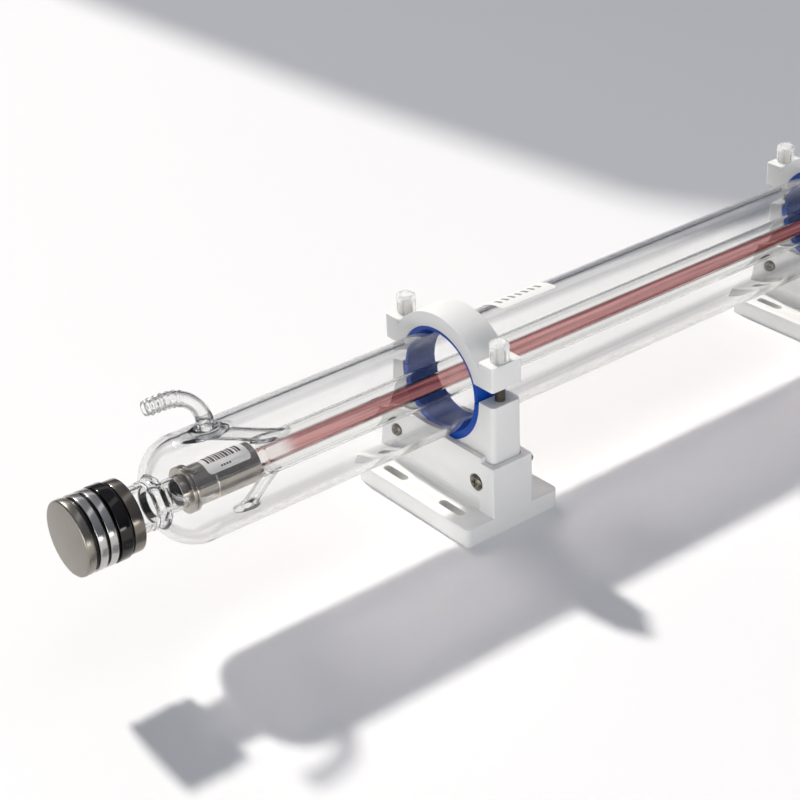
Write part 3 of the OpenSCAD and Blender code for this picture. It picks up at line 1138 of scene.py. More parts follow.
@dataclass(frozen=True)
class TubeSizes:
    """Sizes of the tube in millimetres; places are counted from its middle towards a head.

    Args:
        middle: Y of the tube's middle.
        axis: Height of the axis.
        radius: Outside radius of the envelope.
        wall: Wall of the envelope.
        half_length: Distance of a head's face from the middle.
        head_back: Distance of a head's rear face from the middle.
        dome_start: Where the straight envelope ends.
        dome_corner: Radius of the dome's corner.
        mouth: Radius of the dome's mouth.
        mouth_place: Where the thick ring in the mouth stands.
        mouth_ring: Radius of the ring's rounding.
        wide_neck: Outside radius of the neck outside the dome.
        wide_bore: Inside radius of that part.
        neck: Outside radius of the neck inside the dome.
        neck_bore: Inside radius of that part.
        neck_end: Where the neck's inner end stands.
        jacket: Outside radius of the water jacket.
        jacket_end: Where the jacket ends.
        bore: Outside radius of the discharge tube.
        bore_end: Where the discharge tube ends.
        inner_wall: Wall of the jacket and the discharge tube.
        electrode: Outside radius of the electrodes.
        electrode_back: Where an electrode's open end stands.
        collar_start: Where an electrode's collar starts.
        electrode_front: Where an electrode's collar ends.
        weld_place: Where the weld line round an electrode lies.
        gas_end: Where the glow ends.
        nozzle_place: Where a nozzle stands.
        nozzle: Outside radius of a nozzle.
        nozzle_bend: Radius of a nozzle's bend.
        nozzle_tip: Length of a nozzle's straight end.
        feed: Outside radius of the pipe between a nozzle and the jacket.
        feed_end: Where that pipe meets the jacket.
        strut: Outside radius of a strut.
        strut_foot: Where a strut stands on the envelope.
        strut_head: Where a strut meets the jacket.
    """

    middle: float = 215.0
    axis: float = 103.5
    radius: float = 40.0
    wall: float = 4.5
    half_length: float = 548.0
    head_back: float = 502.0
    dome_start: float = 451.0
    dome_corner: float = 32.0
    mouth: float = 19.3
    mouth_place: float = 478.5
    mouth_ring: float = 4.2
    wide_neck: float = 17.1
    wide_bore: float = 13.5
    neck: float = 12.0
    neck_bore: float = 9.5
    neck_end: float = 463.0
    jacket: float = 14.5
    jacket_end: float = 390.0
    bore: float = 7.0
    bore_end: float = 404.0
    inner_wall: float = 1.5
    electrode: float = 14.8
    electrode_back: float = 401.0
    collar_start: float = 452.0
    electrode_front: float = 458.0
    weld_place: float = 435.8
    gas_end: float = 372.0
    nozzle_place: float = 433.5
    nozzle: float = 6.25
    nozzle_bend: float = 31.0
    nozzle_tip: float = 14.5
    feed: float = 5.25
    feed_end: float = 383.0
    strut: float = 4.75
    strut_foot: float = 407.0
    strut_head: float = 385.0

    @property
    def axis_m(self) -> float:
        """Height of the axis in metres.

        Returns:
            The height.
        """
        return self.axis * MM

    def place(self, outline: Iterable[Point], end: End) -> list[Point]:
        """Moves an outline from distances from the middle to places along Y.

        Args:
            outline: (radius, distance) points.
            end: The end it is for.

        Returns:
            (radius, Y) points.
        """
        return [(r, self.middle + end.value * u) for r, u in outline]

    def spot(self, end: End, distance: float, height: float) -> Vector:
        """A point above or below the axis.

        Args:
            end: The end it is for.
            distance: Its distance from the tube's middle, in millimetres.
            height: Its height above the axis.

        Returns:
            The point in metres.
        """
        return Vector((0.0, self.middle + end.value * distance, self.axis + height)) * MM


@dataclass
class Work:
    """What is built from the tube's sizes and the finishes.

    Args:
        sizes: The tube's sizes.
        finishes: The materials.
    """

    sizes: TubeSizes
    finishes: Finishes

    def turn(
        self,
        name: str,
        outlines: Iterable[Sequence[Point]],
        segments: int,
        edge_mm: float,
        slot: str,
        finish: str,
        *nodes: str,
    ) -> None:
        """Makes a piece turned about the tube's axis, and dresses it.

        Args:
            name: The object's name.
            outlines: Closed outlines of (radius, Y) points.
            segments: Steps round the axis.
            edge_mm: Rounding of the outline's corners.
            slot: The record's material slot.
            finish: The finish's short name.
            *nodes: CAD nodes it replaces.
        """
        mesh = bmesh.new()
        for outline in outlines:
            shape = rounded(outline, edge_mm) if edge_mm else outline
            turn_about_y(mesh, shape, (0.0, self.sizes.axis_m), segments)
        self.finishes.dress(close_object(mesh, name), "carriage", slot, finish, *nodes)

    def one_end(self, end: End) -> None:
        """Builds what stands at one end in the kinds of work that have such parts; here it does
        nothing.

        Args:
            end: The end it is for; not used here.
        """

    def build(self) -> None:
        """Builds what stands at both ends."""
        for end in End:
            self.one_end(end)


@dataclass
class GlassWork(Work):
    """The envelope with its necks, the jacket, the discharge tube, feeds, struts and nozzles."""

    def outer_half(self) -> list[Point]:
        """The envelope's outer skin from a neck's end to the straight part.

        Returns:
            (radius, distance from the middle) points.
        """
        s = self.sizes
        shoulder = s.radius - s.dome_corner
        points: list[Point] = [(s.wide_neck - 0.5, s.head_back), (s.wide_neck, s.head_back - 0.6)]
        points += arc((s.wide_neck - 0.8, s.mouth_place + 8.4), 1.6, 60, -60, 10)
        # the neck flows into the dome over a small hollow
        meet = math.acos((s.mouth - 0.3 - shoulder) / s.dome_corner)
        height = s.dome_start + s.dome_corner * math.sin(meet)
        points += arc((s.mouth - 0.3, height + 1.9), 1.9, 180, 270, 6)
        points += arc((shoulder, s.dome_start), s.dome_corner, math.degrees(meet) - 2, 0, 26)
        return points

    def inner_half(self) -> list[Point]:
        """The inner skin from the straight part over the mouth's ring to the inner neck.

        Returns:
            (radius, distance from the middle) points.
        """
        s = self.sizes
        shoulder = s.radius - s.dome_corner
        inside = s.dome_corner - s.wall
        meet = math.degrees(math.acos((s.mouth + 0.6 - shoulder) / inside))
        points = arc((shoulder, s.dome_start), inside, 0, meet, 26)
        ring = (s.mouth - s.mouth_ring, s.mouth_place)
        points += arc(ring, s.mouth_ring, -24, -86, 8)
        points += arc((s.neck + 1.4, s.mouth_place - s.mouth_ring - 1.5), 1.4, 90, 180, 5)
        points += [(s.neck, s.neck_end + 0.5), (s.neck - 0.5, s.neck_end)]
        points += [(s.neck_bore + 0.4, s.neck_end), (s.neck_bore, s.neck_end + 0.4)]
        # the bore steps out behind the mouth's ring
        step = s.mouth_place + 1.6 * s.mouth_ring
        points += arc((s.neck_bore + 1.6, step - 2.2), 1.6, 180, 100, 5)
        points += arc((s.wide_bore - 1.8, step + 1.2), 1.8, -80, 0, 5)
        points += [(s.wide_bore, s.head_back - 0.4), (s.wide_bore + 0.4, s.head_back)]
        return points

    def envelope(self) -> None:
        """Builds the envelope and both necks as the one fused piece of glass that they are."""
        s = self.sizes
        outline = [
            *s.place(self.outer_half(), End.FRONT),
            *reversed(s.place(self.outer_half(), End.REAR)),
            *reversed(s.place(self.inner_half(), End.REAR)),
            *s.place(self.inner_half(), End.FRONT),
        ]
        nodes = ("envelope", "front_neck", "rear_neck")
        self.turn("glass_envelope", [outline], 192, 0, "glass", "envelope", *nodes)

    def jacket(self) -> None:
        """Builds the water jacket with its rounded shoulders."""
        s = self.sizes
        corner = 5.0
        centre = (s.jacket - corner, s.jacket_end - corner)
        outer, inner = (
            [
                *arc(centre, corner - shrink, 0, 80, 10),
                (s.bore + 0.05, s.jacket_end - shrink + 0.6),
            ]
            for shrink in (0.0, s.inner_wall)
        )
        outline = [
            *s.place(outer, End.FRONT)[::-1],
            *s.place(outer, End.REAR),
            *s.place(inner, End.REAR)[::-1],
            *s.place(inner, End.FRONT),
        ]
        self.turn("glass_water_jacket", [outline], 128, 0, "glass", "jacket", "water_jacket")

    def bore(self) -> None:
        """Builds the discharge tube and the glow inside it."""
        s = self.sizes
        inside = s.bore - s.inner_wall
        tube = box(inside, s.bore, s.middle - s.bore_end, s.middle + s.bore_end)
        slot = "bore_glass"
        self.turn("glass_discharge_tube", [tube], 96, 0.4, slot, "bore", "discharge_tube")
        glow = box(0.0, inside - 0.15, s.middle - s.gas_end, s.middle + s.gas_end)
        self.turn("gas_glow", [glow], 64, 0, slot, "gas")

    def nozzle(self, end: End) -> None:
        """Builds a hooked water nozzle with hose ridges and a wide fused foot.

        Args:
            end: The end it is for.
        """
        s = self.sizes
        bottom, top = s.radius - 0.3, s.radius + 2.0
        bend_steps, tip_steps = 40, 24
        path = [s.spot(end, s.nozzle_place, bottom + 0.46 * i) for i in range(5)]
        for i in range(bend_steps + 1):
            a = math.radians(90 * i / bend_steps)
            out = s.nozzle_place + s.nozzle_bend * (1 - math.cos(a))
            path.append(s.spot(end, out, top + s.nozzle_bend * math.sin(a)))
        out, high = s.nozzle_place + s.nozzle_bend, top + s.nozzle_bend
        for i in range(1, tip_steps + 1):
            path.append(s.spot(end, out + s.nozzle_tip * i / tip_steps, high))
        length = sum((b - a).length for a, b in zip(path, path[1:])) / MM

        def radius(travelled: float) -> float:
            """The outside radius.

            Args:
                travelled: Distance from the foot.

            Returns:
                The radius.
            """
            foot = 7.2 * math.exp(-travelled / 3.4)
            left = length - travelled
            ridge = 0.5 * math.cos(math.tau * left / 4.6) if 1.0 < left < 26.0 else 0.0
            lip = 0.6 * math.exp(-((left / 0.9) ** 2))
            return s.nozzle - 0.5 + foot + ridge - lip

        mesh = bmesh.new()
        seat = Seat(s.axis, bottom, 1, 6.0)
        swept_pipe(mesh, path, radius, s.nozzle - 1.9, 48, seat)
        self.pipe(mesh, f"{end.name.lower()}_nozzle")

    def pipe(self, mesh: Mesh, node: str) -> None:
        """Finishes a lampworked pipe.

        Args:
            mesh: The mesh under construction; it is freed.
            node: The CAD node it stands for.
        """
        piece = close_object(mesh, f"glass_{node}", 60)
        self.finishes.dress(piece, "carriage", "glass", "nozzle", node)

    def brace(
        self, end: End, label: str, sign: int, foot: float, head: float, thick: float
    ) -> None:
        """Builds a slanted glass pipe between the envelope and the jacket.

        Args:
            end: The end it is for.
            label: What it is, as in its CAD node's name.
            sign: 1 for above the jacket, -1 for below it.
            foot: Where it meets the envelope, from the tube's middle.
            head: Where it meets the jacket.
            thick: Its outside radius.
        """
        s = self.sizes
        outside, inside = s.radius - s.wall + 0.3, s.jacket - 0.3
        start, stop = s.spot(end, foot, sign * outside), s.spot(end, head, sign * inside)
        path = [start.lerp(stop, i / 30) for i in range(31)]
        length = (stop - start).length / MM

        def radius(travelled: float) -> float:
            """The outside radius, which flares where the pipe is fused on.

            Args:
                travelled: Distance from the envelope's end.

            Returns:
                The radius.
            """
            flare = 3.4 * math.exp(-travelled / 3.5) + 1.8 * math.exp((travelled - length) / 4.0)
            return thick - 0.3 + flare

        mesh = bmesh.new()
        seats = [Seat(s.axis, wall, sign, 0.48 * length) for wall in (outside, inside)]
        swept_pipe(mesh, path, radius, thick - 1.6, 40, *seats)
        self.pipe(mesh, f"{end.name.lower()}_{label}")

    def one_end(self, end: End) -> None:
        """Builds the pipes at one end.

        Args:
            end: The end it is for.
        """
        s = self.sizes
        self.nozzle(end)
        self.brace(end, "feed", 1, s.nozzle_place, s.feed_end, s.feed)
        self.brace(end, "strut", -1, s.strut_foot, s.strut_head, s.strut)

    def build(self) -> None:
        """Builds all the glass."""
        self.envelope()
        self.jacket()
        self.bore()
        super().build()


@dataclass
class Electrodes(Work):
    """The metal cylinders inside the tube's ends."""

    def one_end(self, end: End) -> None:
        """Builds one electrode: rolled shell, stepped collar, nose, a weld line round it and a
        bright strip along it that is a painted highlight.

        Args:
            end: The end it is for.
        """
        s = self.sizes
        r, back, collar, front = s.electrode, s.electrode_back, s.collar_start, s.electrode_front
        rim, groove, seam_high = r + 2.3, r + 1.2, 0.12
        shell = [
            (r - 1.0, back),
            (r, back),
            (r, collar),
            (rim, collar),
            (rim, collar + 2.6),
            (groove, collar + 2.8),
            (groove, collar + 3.5),
            (rim, collar + 3.7),
            (rim, front - 0.1),
            (s.neck + 0.2, front),
            (s.neck, front + 0.4),
            (s.neck - 0.05, s.neck_end - 0.1),
            (s.neck_bore, s.neck_end - 0.1),
            (s.neck_bore, collar + 1.0),
            (r - 1.0, collar + 0.9),
        ]
        weld = [
            (r - 0.1, s.weld_place - 0.05),
            (r + seam_high, s.weld_place + 0.15),
            (r + seam_high, s.weld_place + 1.2),
            (r - 0.1, s.weld_place + 1.4),
        ]
        node = f"{end.name.lower()}_electrode"
        slot = "electrode_steel"
        self.turn(f"metal_{node}", [s.place(shell, end)], 128, 0.35, slot, "electrode", node)
        mesh = bmesh.new()
        turn_about_y(mesh, rounded(s.place(weld, end), 0.1), (0.0, s.axis_m), 128)
        low, high = sorted(y for _, y in s.place([(r, back + 0.4), (r, collar)], end))
        # the bright strip along the shell is a painted highlight where a lamp's reflection runs;
        # the weld band round it shares its bright steel
        curved_patch(mesh, s.axis_m, (r - 0.05, r + 0.22), (21.5, 26.5), (low, high))
        self.finishes.dress(close_object(mesh, f"metal_{node}_welds"), "carriage", slot, "weld")


@dataclass(frozen=True)
class LabelSizes:
    """A curved label on a round surface.

    Args:
        name: The label's name.
        node: The CAD node it stands for.
        radius: Radius of its inner face.
        angles: Its first and last angle in degrees, from +X towards +Z.
        along: Its low and high Y.
        corner: Rounding of its corners.
        bars: The bars, as (start along Y, width, low share, high share of the angle).
        ink: The finish of the bars.
    """

    name: str
    node: str
    radius: float
    angles: Point
    along: Point
    corner: float
    bars: Sequence[tuple[float, float, float, float]]
    ink: str


@dataclass
class Labels(Work):
    """Curved labels with plain bars."""

    def label(self, spec: LabelSizes) -> None:
        """Builds one label and the bars on it.

        Args:
            spec: Its sizes.
        """
        height = self.sizes.axis_m
        sheet, bars = bmesh.new(), bmesh.new()
        face = spec.radius + 0.18
        curved_patch(sheet, height, (spec.radius, face), spec.angles, spec.along, spec.corner)
        piece = close_object(sheet, spec.name, 50)
        self.finishes.dress(piece, "carriage", "label_paper", "paper", spec.node)
        first, last = spec.angles
        ink = (face + 0.03, face + 0.16)
        for start, width, low, high in spec.bars:
            angles = (first + (last - first) * low, first + (last - first) * high)
            place = (spec.along[0] + start, spec.along[0] + start + width)
            curved_patch(bars, height, ink, angles, place)
        printed = close_object(bars, f"{spec.name}_bars", 50)
        self.finishes.dress(printed, "carriage", "black_rubber", spec.ink)

    def build(self) -> None:
        """Builds the electrode's label and the strip on top of the envelope."""
        widths = (1.5, 0.8, 1.9, 0.9, 1.6, 0.8, 1.3, 2.0, 0.9, 1.7, 1.0, 1.6)
        gaps = (1.0, 0.8, 1.1, 0.9, 0.9, 0.8, 0.9, 1.1, 0.9, 2.0, 0.9, 0.8)
        code: list[tuple[float, float, float, float]] = []
        along = 3.4
        for width, gap in zip(widths, gaps):
            code.append((along, width, 0.4, 0.86))
            along += width + gap
        code += [(11.0 + 2.2 * i, 1.2, 0.12, 0.19) for i in range(4)]
        strip = [(6.0 + 6.6 * i, 2.4, 0.34, 0.66) for i in range(7)]
        s = self.sizes
        end_y = s.middle - s.electrode_back - 5.0
        for spec in (
            LabelSizes(
                "electrode_code_label",
                "electrode_label",
                s.electrode + 0.15,
                (43.0, 124.0),
                (end_y - 35.0, end_y),
                2.6,
                code,
                "ink",
            ),
            LabelSizes(
                "tube_strip_label",
                "tube_label",
                s.radius + 0.15,
                (86.0, 124.0),
                (48.0, 104.0),
                1.5,
                strip,
                "faded_ink",
            ),
        ):
            self.label(spec)


@dataclass
class Heads(Work):
    """The metal heads: faced cap, polished rings, dark sleeve, rear flange, seals and optic."""

    def one_end(self, end: End) -> None:
        """Builds one head.

        Args:
            end: The end it is for.
        """
        s = self.sizes
        name = end.name.lower()
        face, r, core = s.half_length, 27.5, 22.0
        steel, chrome, rubber = "head_steel", "head_chrome", "black_rubber"
        rings = ((9.6, 15.5), (17.7, 23.6))
        seals = ((7.02, 9.58), (15.52, 17.68), (23.62, 25.78), (34.62, 36.78))
        body = [
            (8.0, face - 10.0),
            (12.5, face - 10.0),
            (12.5, face - 7.05),
            (core - 0.05, face - 7.05),
            (core - 0.05, face - 36.8),
            (r - 1.0, face - 36.8),
            (r - 1.0, s.head_back + 0.8),
            (r - 3.0, s.head_back + 0.05),
            (8.0, s.head_back + 0.05),
        ]

        def stack(inner: float, outer: float, *spans: Point) -> list[list[Point]]:
            """Outlines of rings that stand behind each other.

            Args:
                inner: Their inside radius.
                outer: Their outside radius.
                *spans: Where each starts and stops, counted from the head's face.

            Returns:
                The outlines.
            """
            return [box(inner, outer, face - start, face - stop) for start, stop in spans]

        for piece, outlines, segments, edge, slot, finish, node in (
            ("metal_{}_cap", stack(0.0, r, (0.0, 7.0)), 128, 1.7, steel, "face", "cap"),
            ("metal_{}_rings", stack(core, r, *rings), 128, 0.6, steel, "ring", "head_rings"),
            (
                "metal_{}_sleeve",
                stack(core, r + 0.3, (25.8, 34.6)),
                128,
                0.7,
                chrome,
                "chrome",
                "head_sleeve",
            ),
            ("rubber_{}_seals", stack(core, r - 1.7, *seals), 96, 0.8, rubber, "black", "seals"),
            ("metal_{}_body", [body], 128, 0.6, steel, "flange", "head_core"),
            (
                "optic_{}_mirror",
                stack(0.0, 12.4, (7.1, 9.95)),
                64,
                0.2,
                "coated_mirror",
                "optic",
                "mirror",
            ),
        ):
            placed = [s.place(outline, end) for outline in outlines]
            full_name = piece.format(name)
            self.turn(full_name, placed, segments, edge, slot, finish, f"{name}_{node}")


# ---------------------------------------------------------------- the supports


@dataclass(frozen=True)
class SupportSizes:
    """Sizes of a support in millimetres.

    Args:
        spacing: Distance between the supports.
        stud_offset: Distance of a clamp stud from the tube's axis, across it.
        stud: Radius of a clamp stud.
        stud_bottom: Height of a stud's hidden foot.
        stud_top: Height of a stud's end.
        ear_top: Height of the arch's ears.
        knob: Radius of a knob.
        knob_height: Height of a knob.
        screw_offset: Distance of a height screw from the axis, across it.
        screw_height: Height of the height screws.
        screw: Radius of a height screw.
        half_box: Half the depth of the base's box.
        saddle_radius: Radius of the saddle's hollow.
        arch_inside: Inside radius of the arch.
        half_saddle: Half the saddle's depth.
    """

    spacing: float = 430.0
    stud_offset: float = 54.0
    stud: float = 4.0
    stud_bottom: float = 78.7
    stud_top: float = 148.0
    ear_top: float = 138.0
    knob: float = 7.5
    knob_height: float = 15.0
    screw_offset: float = 47.5
    screw_height: float = 38.5
    screw: float = 3.0
    half_box: float = 19.3
    saddle_radius: float = 46.5
    arch_inside: float = 44.0
    half_saddle: float = 14.4

    def support_y(self, end: End) -> float:
        """Y of a support's centre, in millimetres.

        Args:
            end: The support.

        Returns:
            The place along Y.
        """
        return 0.0 if end is End.FRONT else self.spacing


@dataclass
class Supports:
    """Bases, saddles, arches, liners, studs, knobs and screws of both supports.

    Args:
        sizes: The supports' sizes.
        tube: The tube's sizes.
        finishes: The materials.
        nodes: The CAD nodes by name.
    """

    sizes: SupportSizes
    tube: TubeSizes
    finishes: Finishes
    nodes: dict[str, Object]

    def mouldings(self, end: End) -> None:
        """Rounds the edges of the base, the saddle and the arch.

        Args:
            end: The support.
        """
        for part, body, edge, rolled in (
            ("base", "bases", 0.7, 2.0),
            ("saddle", "carriage", 1.0, 0.0),
            ("arch", "carriage", 1.0, 0.0),
        ):
            node = f"{end.name.lower()}_{part}"
            piece = refined_copy(self.nodes[node], f"plastic_{node}", edge, rolled)
            if part == "saddle":
                self.slim(piece, self.sizes.support_y(end) * MM, 0.4 * MM)
            self.finishes.dress(piece, body, "white_plastic", "white", node)

    def slim(self, piece: Object, middle: float, inset: float) -> None:
        """Draws a moulding's sides in, so that its gap in the box is seen.

        Args:
            piece: The moulding.
            middle: Y of its middle in metres.
            inset: How far each side moves in, in metres.
        """
        verts = piece.data.vertices
        half_x = max(abs(v.co.x) for v in verts)
        half_y = max(abs(v.co.y - middle) for v in verts)
        for v in verts:
            v.co.x *= 1.0 - inset / half_x
            v.co.y = middle + (v.co.y - middle) * (1.0 - inset / half_y)

    def liners(self, end: End) -> None:
        """Builds the rubber strips between tube and clamp.

        Args:
            end: The support.
        """
        s, t = self.sizes, self.tube
        y, half = s.support_y(end), s.half_saddle - 1.0
        for label, outer, low, high in (
            ("lower", s.saddle_radius, 182.5, 357.5),
            ("upper", s.arch_inside, -1.0, 181.0),
        ):
            outline = rounded(box(t.radius + 0.1, outer - 0.05, y - half, y + half), 0.8)
            mesh = bmesh.new()
            turn_about_y(mesh, outline, (0.0, t.axis_m), 144, low, high)
            node = f"{end.name.lower()}_{label}_liner"
            piece = close_object(mesh, f"rubber_{node}")
            self.finishes.dress(piece, "carriage", "blue_rubber", "blue", node)

    def thread(self, radius: float, start: float, stop: float, pitch: float) -> list[Point]:
        """The outline of a threaded rod, from its foot to its end.

        Args:
            radius: Radius over the crests.
            start: Height of its foot.
            stop: Height of its end.
            pitch: Distance between crests.

        Returns:
            (radius, height) points, closed over the axis.
        """
        root = radius - 0.6 * pitch
        points: list[Point] = [(0.0, start), (root, start)]
        height = start + 0.2
        while height + pitch < stop - 0.8:
            points.append((root, height))
            points += [(radius, height + share * pitch) for share in (0.4, 0.55)]
            height += pitch
        points += [(root, height), (root, stop - 0.4), (root - 0.5, stop), (0.0, stop)]
        return points

    def studs(self) -> None:
        """Builds the threaded clamp studs."""
        s = self.sizes
        mesh = bmesh.new()
        for end in End:
            for side in Side:
                centre = (side.value * s.stud_offset * MM, s.support_y(end) * MM, 0.0)
                turned_z(mesh, self.thread(s.stud, s.stud_bottom, s.stud_top, 1.25), centre, 32)
        piece = close_object(mesh, "steel_clamp_studs", 25)
        self.finishes.dress(piece, "carriage", "screw_steel", "screw", "clamp_studs")

    def knob(self, end: End, side: Side) -> None:
        """Builds one fluted translucent knob and its hexagonal metal insert.

        Args:
            end: The support.
            side: The side it is on.
        """
        s = self.sizes
        name = f"{end.name.lower()}_{side.name.lower()}"
        centre = (side.value * s.stud_offset * MM, s.support_y(end) * MM, s.ear_top * MM)
        pocket, pocket_top, hole = 6.0, 8.2, 4.6
        top, roof = s.knob_height, s.knob_height - 3.0
        outline = [
            (pocket, 0.05),
            (s.knob, 0.05),
            (s.knob, top - 1.4),
            (s.knob - 1.6, top),
            (0.0, top),
            (0.0, roof),
            (hole, roof),
            (hole, pocket_top),
            (pocket, pocket_top),
        ]
        body = f"{name}_clamp_knob"
        mesh = bmesh.new()
        turned_z(mesh, rounded(outline, 0.8, 4), centre, 96, 6, 0.7)
        piece = close_object(mesh, f"plastic_{name}_knob", 40)
        self.finishes.dress(piece, body, "clear_plastic", "knob", f"{name}_knob")
        # its bore has six flats too, and they stay clear of the stud's thread
        inner = bmesh.new()
        turned_z(inner, rounded(box(4.75, 5.85, 0.1, 7.9), 0.4, 2), centre, 6)
        insert = close_object(inner, f"steel_{name}_insert", 30)
        self.finishes.dress(insert, body, "screw_steel", "screw", f"{name}_insert")

    def screw(self, mesh: Mesh, centre: Point, y: float) -> None:
        """Adds one height screw with its pan head and the cross of its drive.

        Args:
            mesh: The mesh that gets the faces.
            centre: X and Z of its axis, in metres.
            y: Y of the support's middle.
        """
        s = self.sizes
        back = y + s.half_box
        head, tip = y - s.half_box + 2.0, back + 1.6 + 6.4 + 9.0
        root, pitch = s.screw - 0.55, 1.0
        rod: list[Point] = [(0.0, head - 0.5), (s.screw - 0.5, head - 0.5)]
        spot = back + 8.2
        while spot + pitch < tip - 0.6:
            rod += [(root, spot), (s.screw, spot + 0.4), (s.screw, spot + 0.55)]
            spot += pitch
        rod += [(root, spot), (s.screw - 0.9, tip), (0.0, tip)]
        turn_about_y(mesh, rod, centre, 32)
        recess, rim = 3.1, 6.3
        cap = [
            (0.0, head - 1.7),
            (recess, head - 1.7),
            (recess, head - 3.75),
            (4.6, head - 3.7),
            (6.0, head - 2.8),
            (rim, head - 1.6),
            (rim, head - 0.05),
            (0.0, head - 0.05),
        ]
        turn_about_y(mesh, rounded(cap, 0.35, 2), centre, 48)
        # the cross of the drive stands in the recess as four fillets between slots
        fillet, away = 1.9 * MM, 2.2 * MM
        slant = Matrix.Rotation(math.radians(20), 3, "Y")
        for quarter in range(4):
            angle = math.radians(45 + 90 * quarter)
            x, z = centre[0] + away * math.cos(angle), centre[1] + away * math.sin(angle)
            verts = bmesh.ops.create_cube(mesh, size=1.0)["verts"]
            bmesh.ops.scale(mesh, verts=verts, vec=(fillet, fillet, fillet))
            bmesh.ops.rotate(mesh, verts=verts, cent=(0, 0, 0), matrix=slant)
            bmesh.ops.translate(mesh, verts=verts, vec=(x, (head - 2.65) * MM, z))

    def screws(self) -> None:
        """Builds the height screws, their nuts and washers along Y."""
        s = self.sizes
        screws, nuts, washers = bmesh.new(), bmesh.new(), bmesh.new()
        corner, flat, hole = 5.77, 5.3, s.screw + 0.02
        for end in End:
            for side in Side:
                y = s.support_y(end)
                centre = (side.value * s.screw_offset * MM, s.screw_height * MM)
                self.screw(screws, centre, y)
                low = y + s.half_box + 1.65
                nut = [
                    (hole, low),
                    (flat, low),
                    (corner, low + 0.5),
                    (corner, low + 5.8),
                    (flat, low + 6.3),
                    (hole, low + 6.3),
                ]
                turn_about_y(nuts, nut, centre, 6)
                back = y + s.half_box
                washer = box(s.screw + 0.3, 6.2, back + 0.02, back + 1.58)
                turn_about_y(washers, rounded(washer, 0.3, 2), centre, 48)
        for mesh, node, slot, finish in (
            (screws, "height_screws", "screw_steel", "screw"),
            (nuts, "height_nuts", "screw_steel", "screw"),
            (washers, "height_washers", "washer_steel", "bright"),
        ):
            piece = close_object(mesh, f"steel_{node}", 28)
            self.finishes.dress(piece, "bases", slot, finish, node)

    def build(self) -> None:
        """Builds both supports."""
        for end in End:
            self.mouldings(end)
            self.liners(end)
            for side in Side:
                self.knob(end, side)
        self.studs()
        self.screws()


# ---------------------------------------------------------------- stage, light and camera


@dataclass(frozen=True)
class CameraSizes:
    """The photograph's viewpoint.

    Args:
        place: The camera's position in metres.
        azimuth: Its heading in degrees, from +Y towards -X.
        elevation: How far it looks down, in degrees.
        roll: Its roll in degrees.
        lens: Focal length in millimetres for a 36 mm wide sensor.
    """

    place: Place = (0.9675, -0.78654, 0.78801)
    azimuth: float = 52.764
    elevation: float = 29.46
    roll: float = -2.64
    lens: float = 84.78

    def build(self) -> None:
        """Adds the camera."""
        az, el, roll = map(math.radians, (self.azimuth, self.elevation, self.roll))
        ahead = Vector(
            (-math.sin(az) * math.cos(el), math.cos(az) * math.cos(el), -math.sin(el))
        )
        right = Vector((math.cos(az), math.sin(az), 0.0))
        up = right.cross(ahead)
        tilted_right = right * math.cos(roll) + up * math.sin(roll)
        tilted_up = up * math.cos(roll) - right * math.sin(roll)
        data = bpy.data.cameras.new("camera")
        data.lens = self.lens
        data.sensor_width = 36.0
        data.clip_start, data.clip_end = 0.05, 60.0
        camera = add_object("camera", data)
        turn = Matrix((tilted_right, tilted_up, -ahead)).transposed()
        camera.matrix_world = Matrix.Translation(self.place) @ turn.to_4x4()
        bpy.context.scene.camera = camera


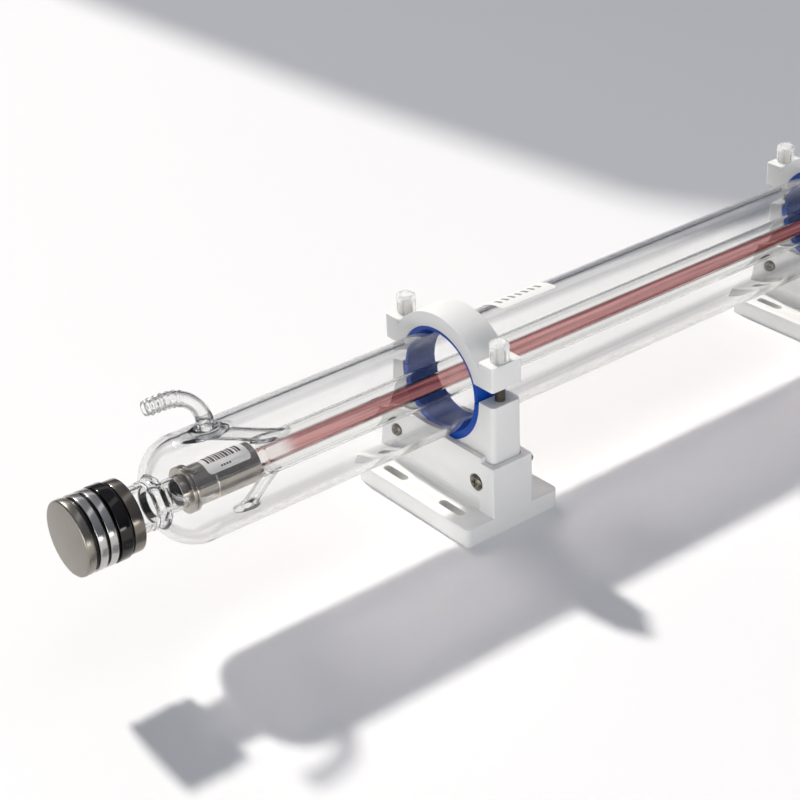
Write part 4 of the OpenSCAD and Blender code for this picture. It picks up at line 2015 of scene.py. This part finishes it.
@dataclass(frozen=True)
class Stage:
    """The pale floor, the soft surroundings, the low sun from the left and a gauze before it.

    Args:
        sun_direction: Where the sun stands.
        shaded_floor: Corners of the floor behind that the gauze shades, in metres.
        gauze_height: Height of the gauze, in metres.
    """

    sun_direction: Place = (-0.745, 0.09, 0.658)
    shaded_floor: tuple[Point, ...] = (
        (-3.2, 0.36),
        (-0.74, 0.46),
        (-0.3, 0.5),
        (-0.15, 0.58),
        (0.6, 1.1),
        (0.6, 3.0),
        (-3.2, 3.0),
    )
    gauze_height: float = 0.9

    def floor(self) -> None:
        """Adds the floor."""
        mesh = bmesh.new()
        bmesh.ops.create_grid(mesh, x_segments=2, y_segments=2, size=9.0)
        paint = Flat("floor_matt_white", (0.9, 0.9, 0.905), 0.7, 0.25)
        sheet_object("floor", mesh, paint)

    def world(self) -> None:
        """Adds surroundings that are bright overhead and darker round the horizon."""
        world = bpy.data.worlds.new("surroundings")
        bpy.context.scene.world = world
        world.use_nodes = True
        tree = world.node_tree
        tree.nodes.clear()
        place = add_node(tree, "TexCoord").outputs["Generated"]
        height = add_node(tree, "SeparateXYZ", links={"Vector": place}).outputs["Z"]
        stops = (
            (0.0, (0.2, 0.21, 0.235)),
            (0.18, (0.26, 0.27, 0.31)),
            (0.5, (0.42, 0.44, 0.5)),
            (1.0, (0.62, 0.64, 0.72)),
        )
        light = {"Color": ramp(tree, height, stops)}
        sky = add_node(tree, "Background", {"Strength": 0.52}, light)
        add_node(tree, "OutputWorld", links={"Surface": sky.outputs["Background"]})

    def flag(self) -> None:
        """Hangs a grey gauze out of the picture that weakens the sun on the floor behind."""
        height = self.gauze_height
        away = Vector(self.sun_direction) * (height / self.sun_direction[2])
        corners = [(x + away.x, y + away.y, height) for x, y in self.shaded_floor]
        mesh = bmesh.new()
        mesh.faces.new([mesh.verts.new(corner) for corner in corners])
        card = sheet_object("sun_flag", mesh, Finish("card_grey_gauze", (0.22, 0.22, 0.23)))
        card.visible_camera = card.visible_diffuse = False
        card.visible_glossy = card.visible_transmission = False

    def light(self, name: str, kind: str, power: float, back: Vector) -> Object:
        """Adds a light.

        Args:
            name: Its name.
            kind: Its kind.
            power: Its power.
            back: The direction that it shines away from.

        Returns:
            The light's object.
        """
        data = bpy.data.lights.new(name, kind)
        data.energy = power
        lamp = add_object(name, data)
        lamp.rotation_mode = "QUATERNION"
        lamp.rotation_quaternion = back.to_track_quat("Z", "Y")
        return lamp

    def lamp(self, name: str, place: Place, target: Place, size: Point, power: float) -> None:
        """Adds a soft rectangular lamp.

        Args:
            name: Its name.
            place: Its position in metres.
            target: The point it faces.
            size: Its width and height in metres.
            power: Its power in watts.
        """
        lamp = self.light(name, "AREA", power, Vector(place) - Vector(target))
        lamp.location = place
        lamp.data.shape = "RECTANGLE"
        lamp.data.size, lamp.data.size_y = size

    def sun(self) -> None:
        """Adds the low sun that draws the long shadows."""
        sun = self.light("sun", "SUN", 3.45, Vector(self.sun_direction))
        sun.data.angle = math.radians(3.4)
        sun.data.color = (1.0, 0.965, 0.91)

    def build(self) -> None:
        """Builds the stage and its lamps."""
        self.floor()
        self.world()
        self.sun()
        self.lamp("side_box", (-1.6, 0.3, 1.3), (0.0, 0.1, 0.1), (2.4, 0.5), 2.0)
        self.lamp("front_fill", (0.4, -1.7, 0.14), (0.0, 0.0, 0.1), (1.6, 0.2), 9.5)
        self.lamp("right_fill", (1.7, -0.2, 0.16), (0.0, 0.1, 0.08), (1.4, 0.2), 5.0)
        self.flag()
        self.lamp("over_box", (0.3, 0.4, 2.0), (0.0, 0.2, 0.1), (2.6, 0.4), 2.0)
        bpy.context.scene.view_settings.view_transform = "Standard"


def main() -> None:
    logging.basicConfig(level=logging.INFO, format="%(name)s: %(message)s")
    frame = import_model()
    tube = TubeSizes()
    finishes = Finishes(tube.axis_m)
    for work in (GlassWork, Electrodes, Labels, Heads):
        work(tube, finishes).build()
    Supports(SupportSizes(), tube, finishes, frame["nodes"]).build()
    Stage().build()
    CameraSizes().build()


if __name__ == "__main__":
    main()
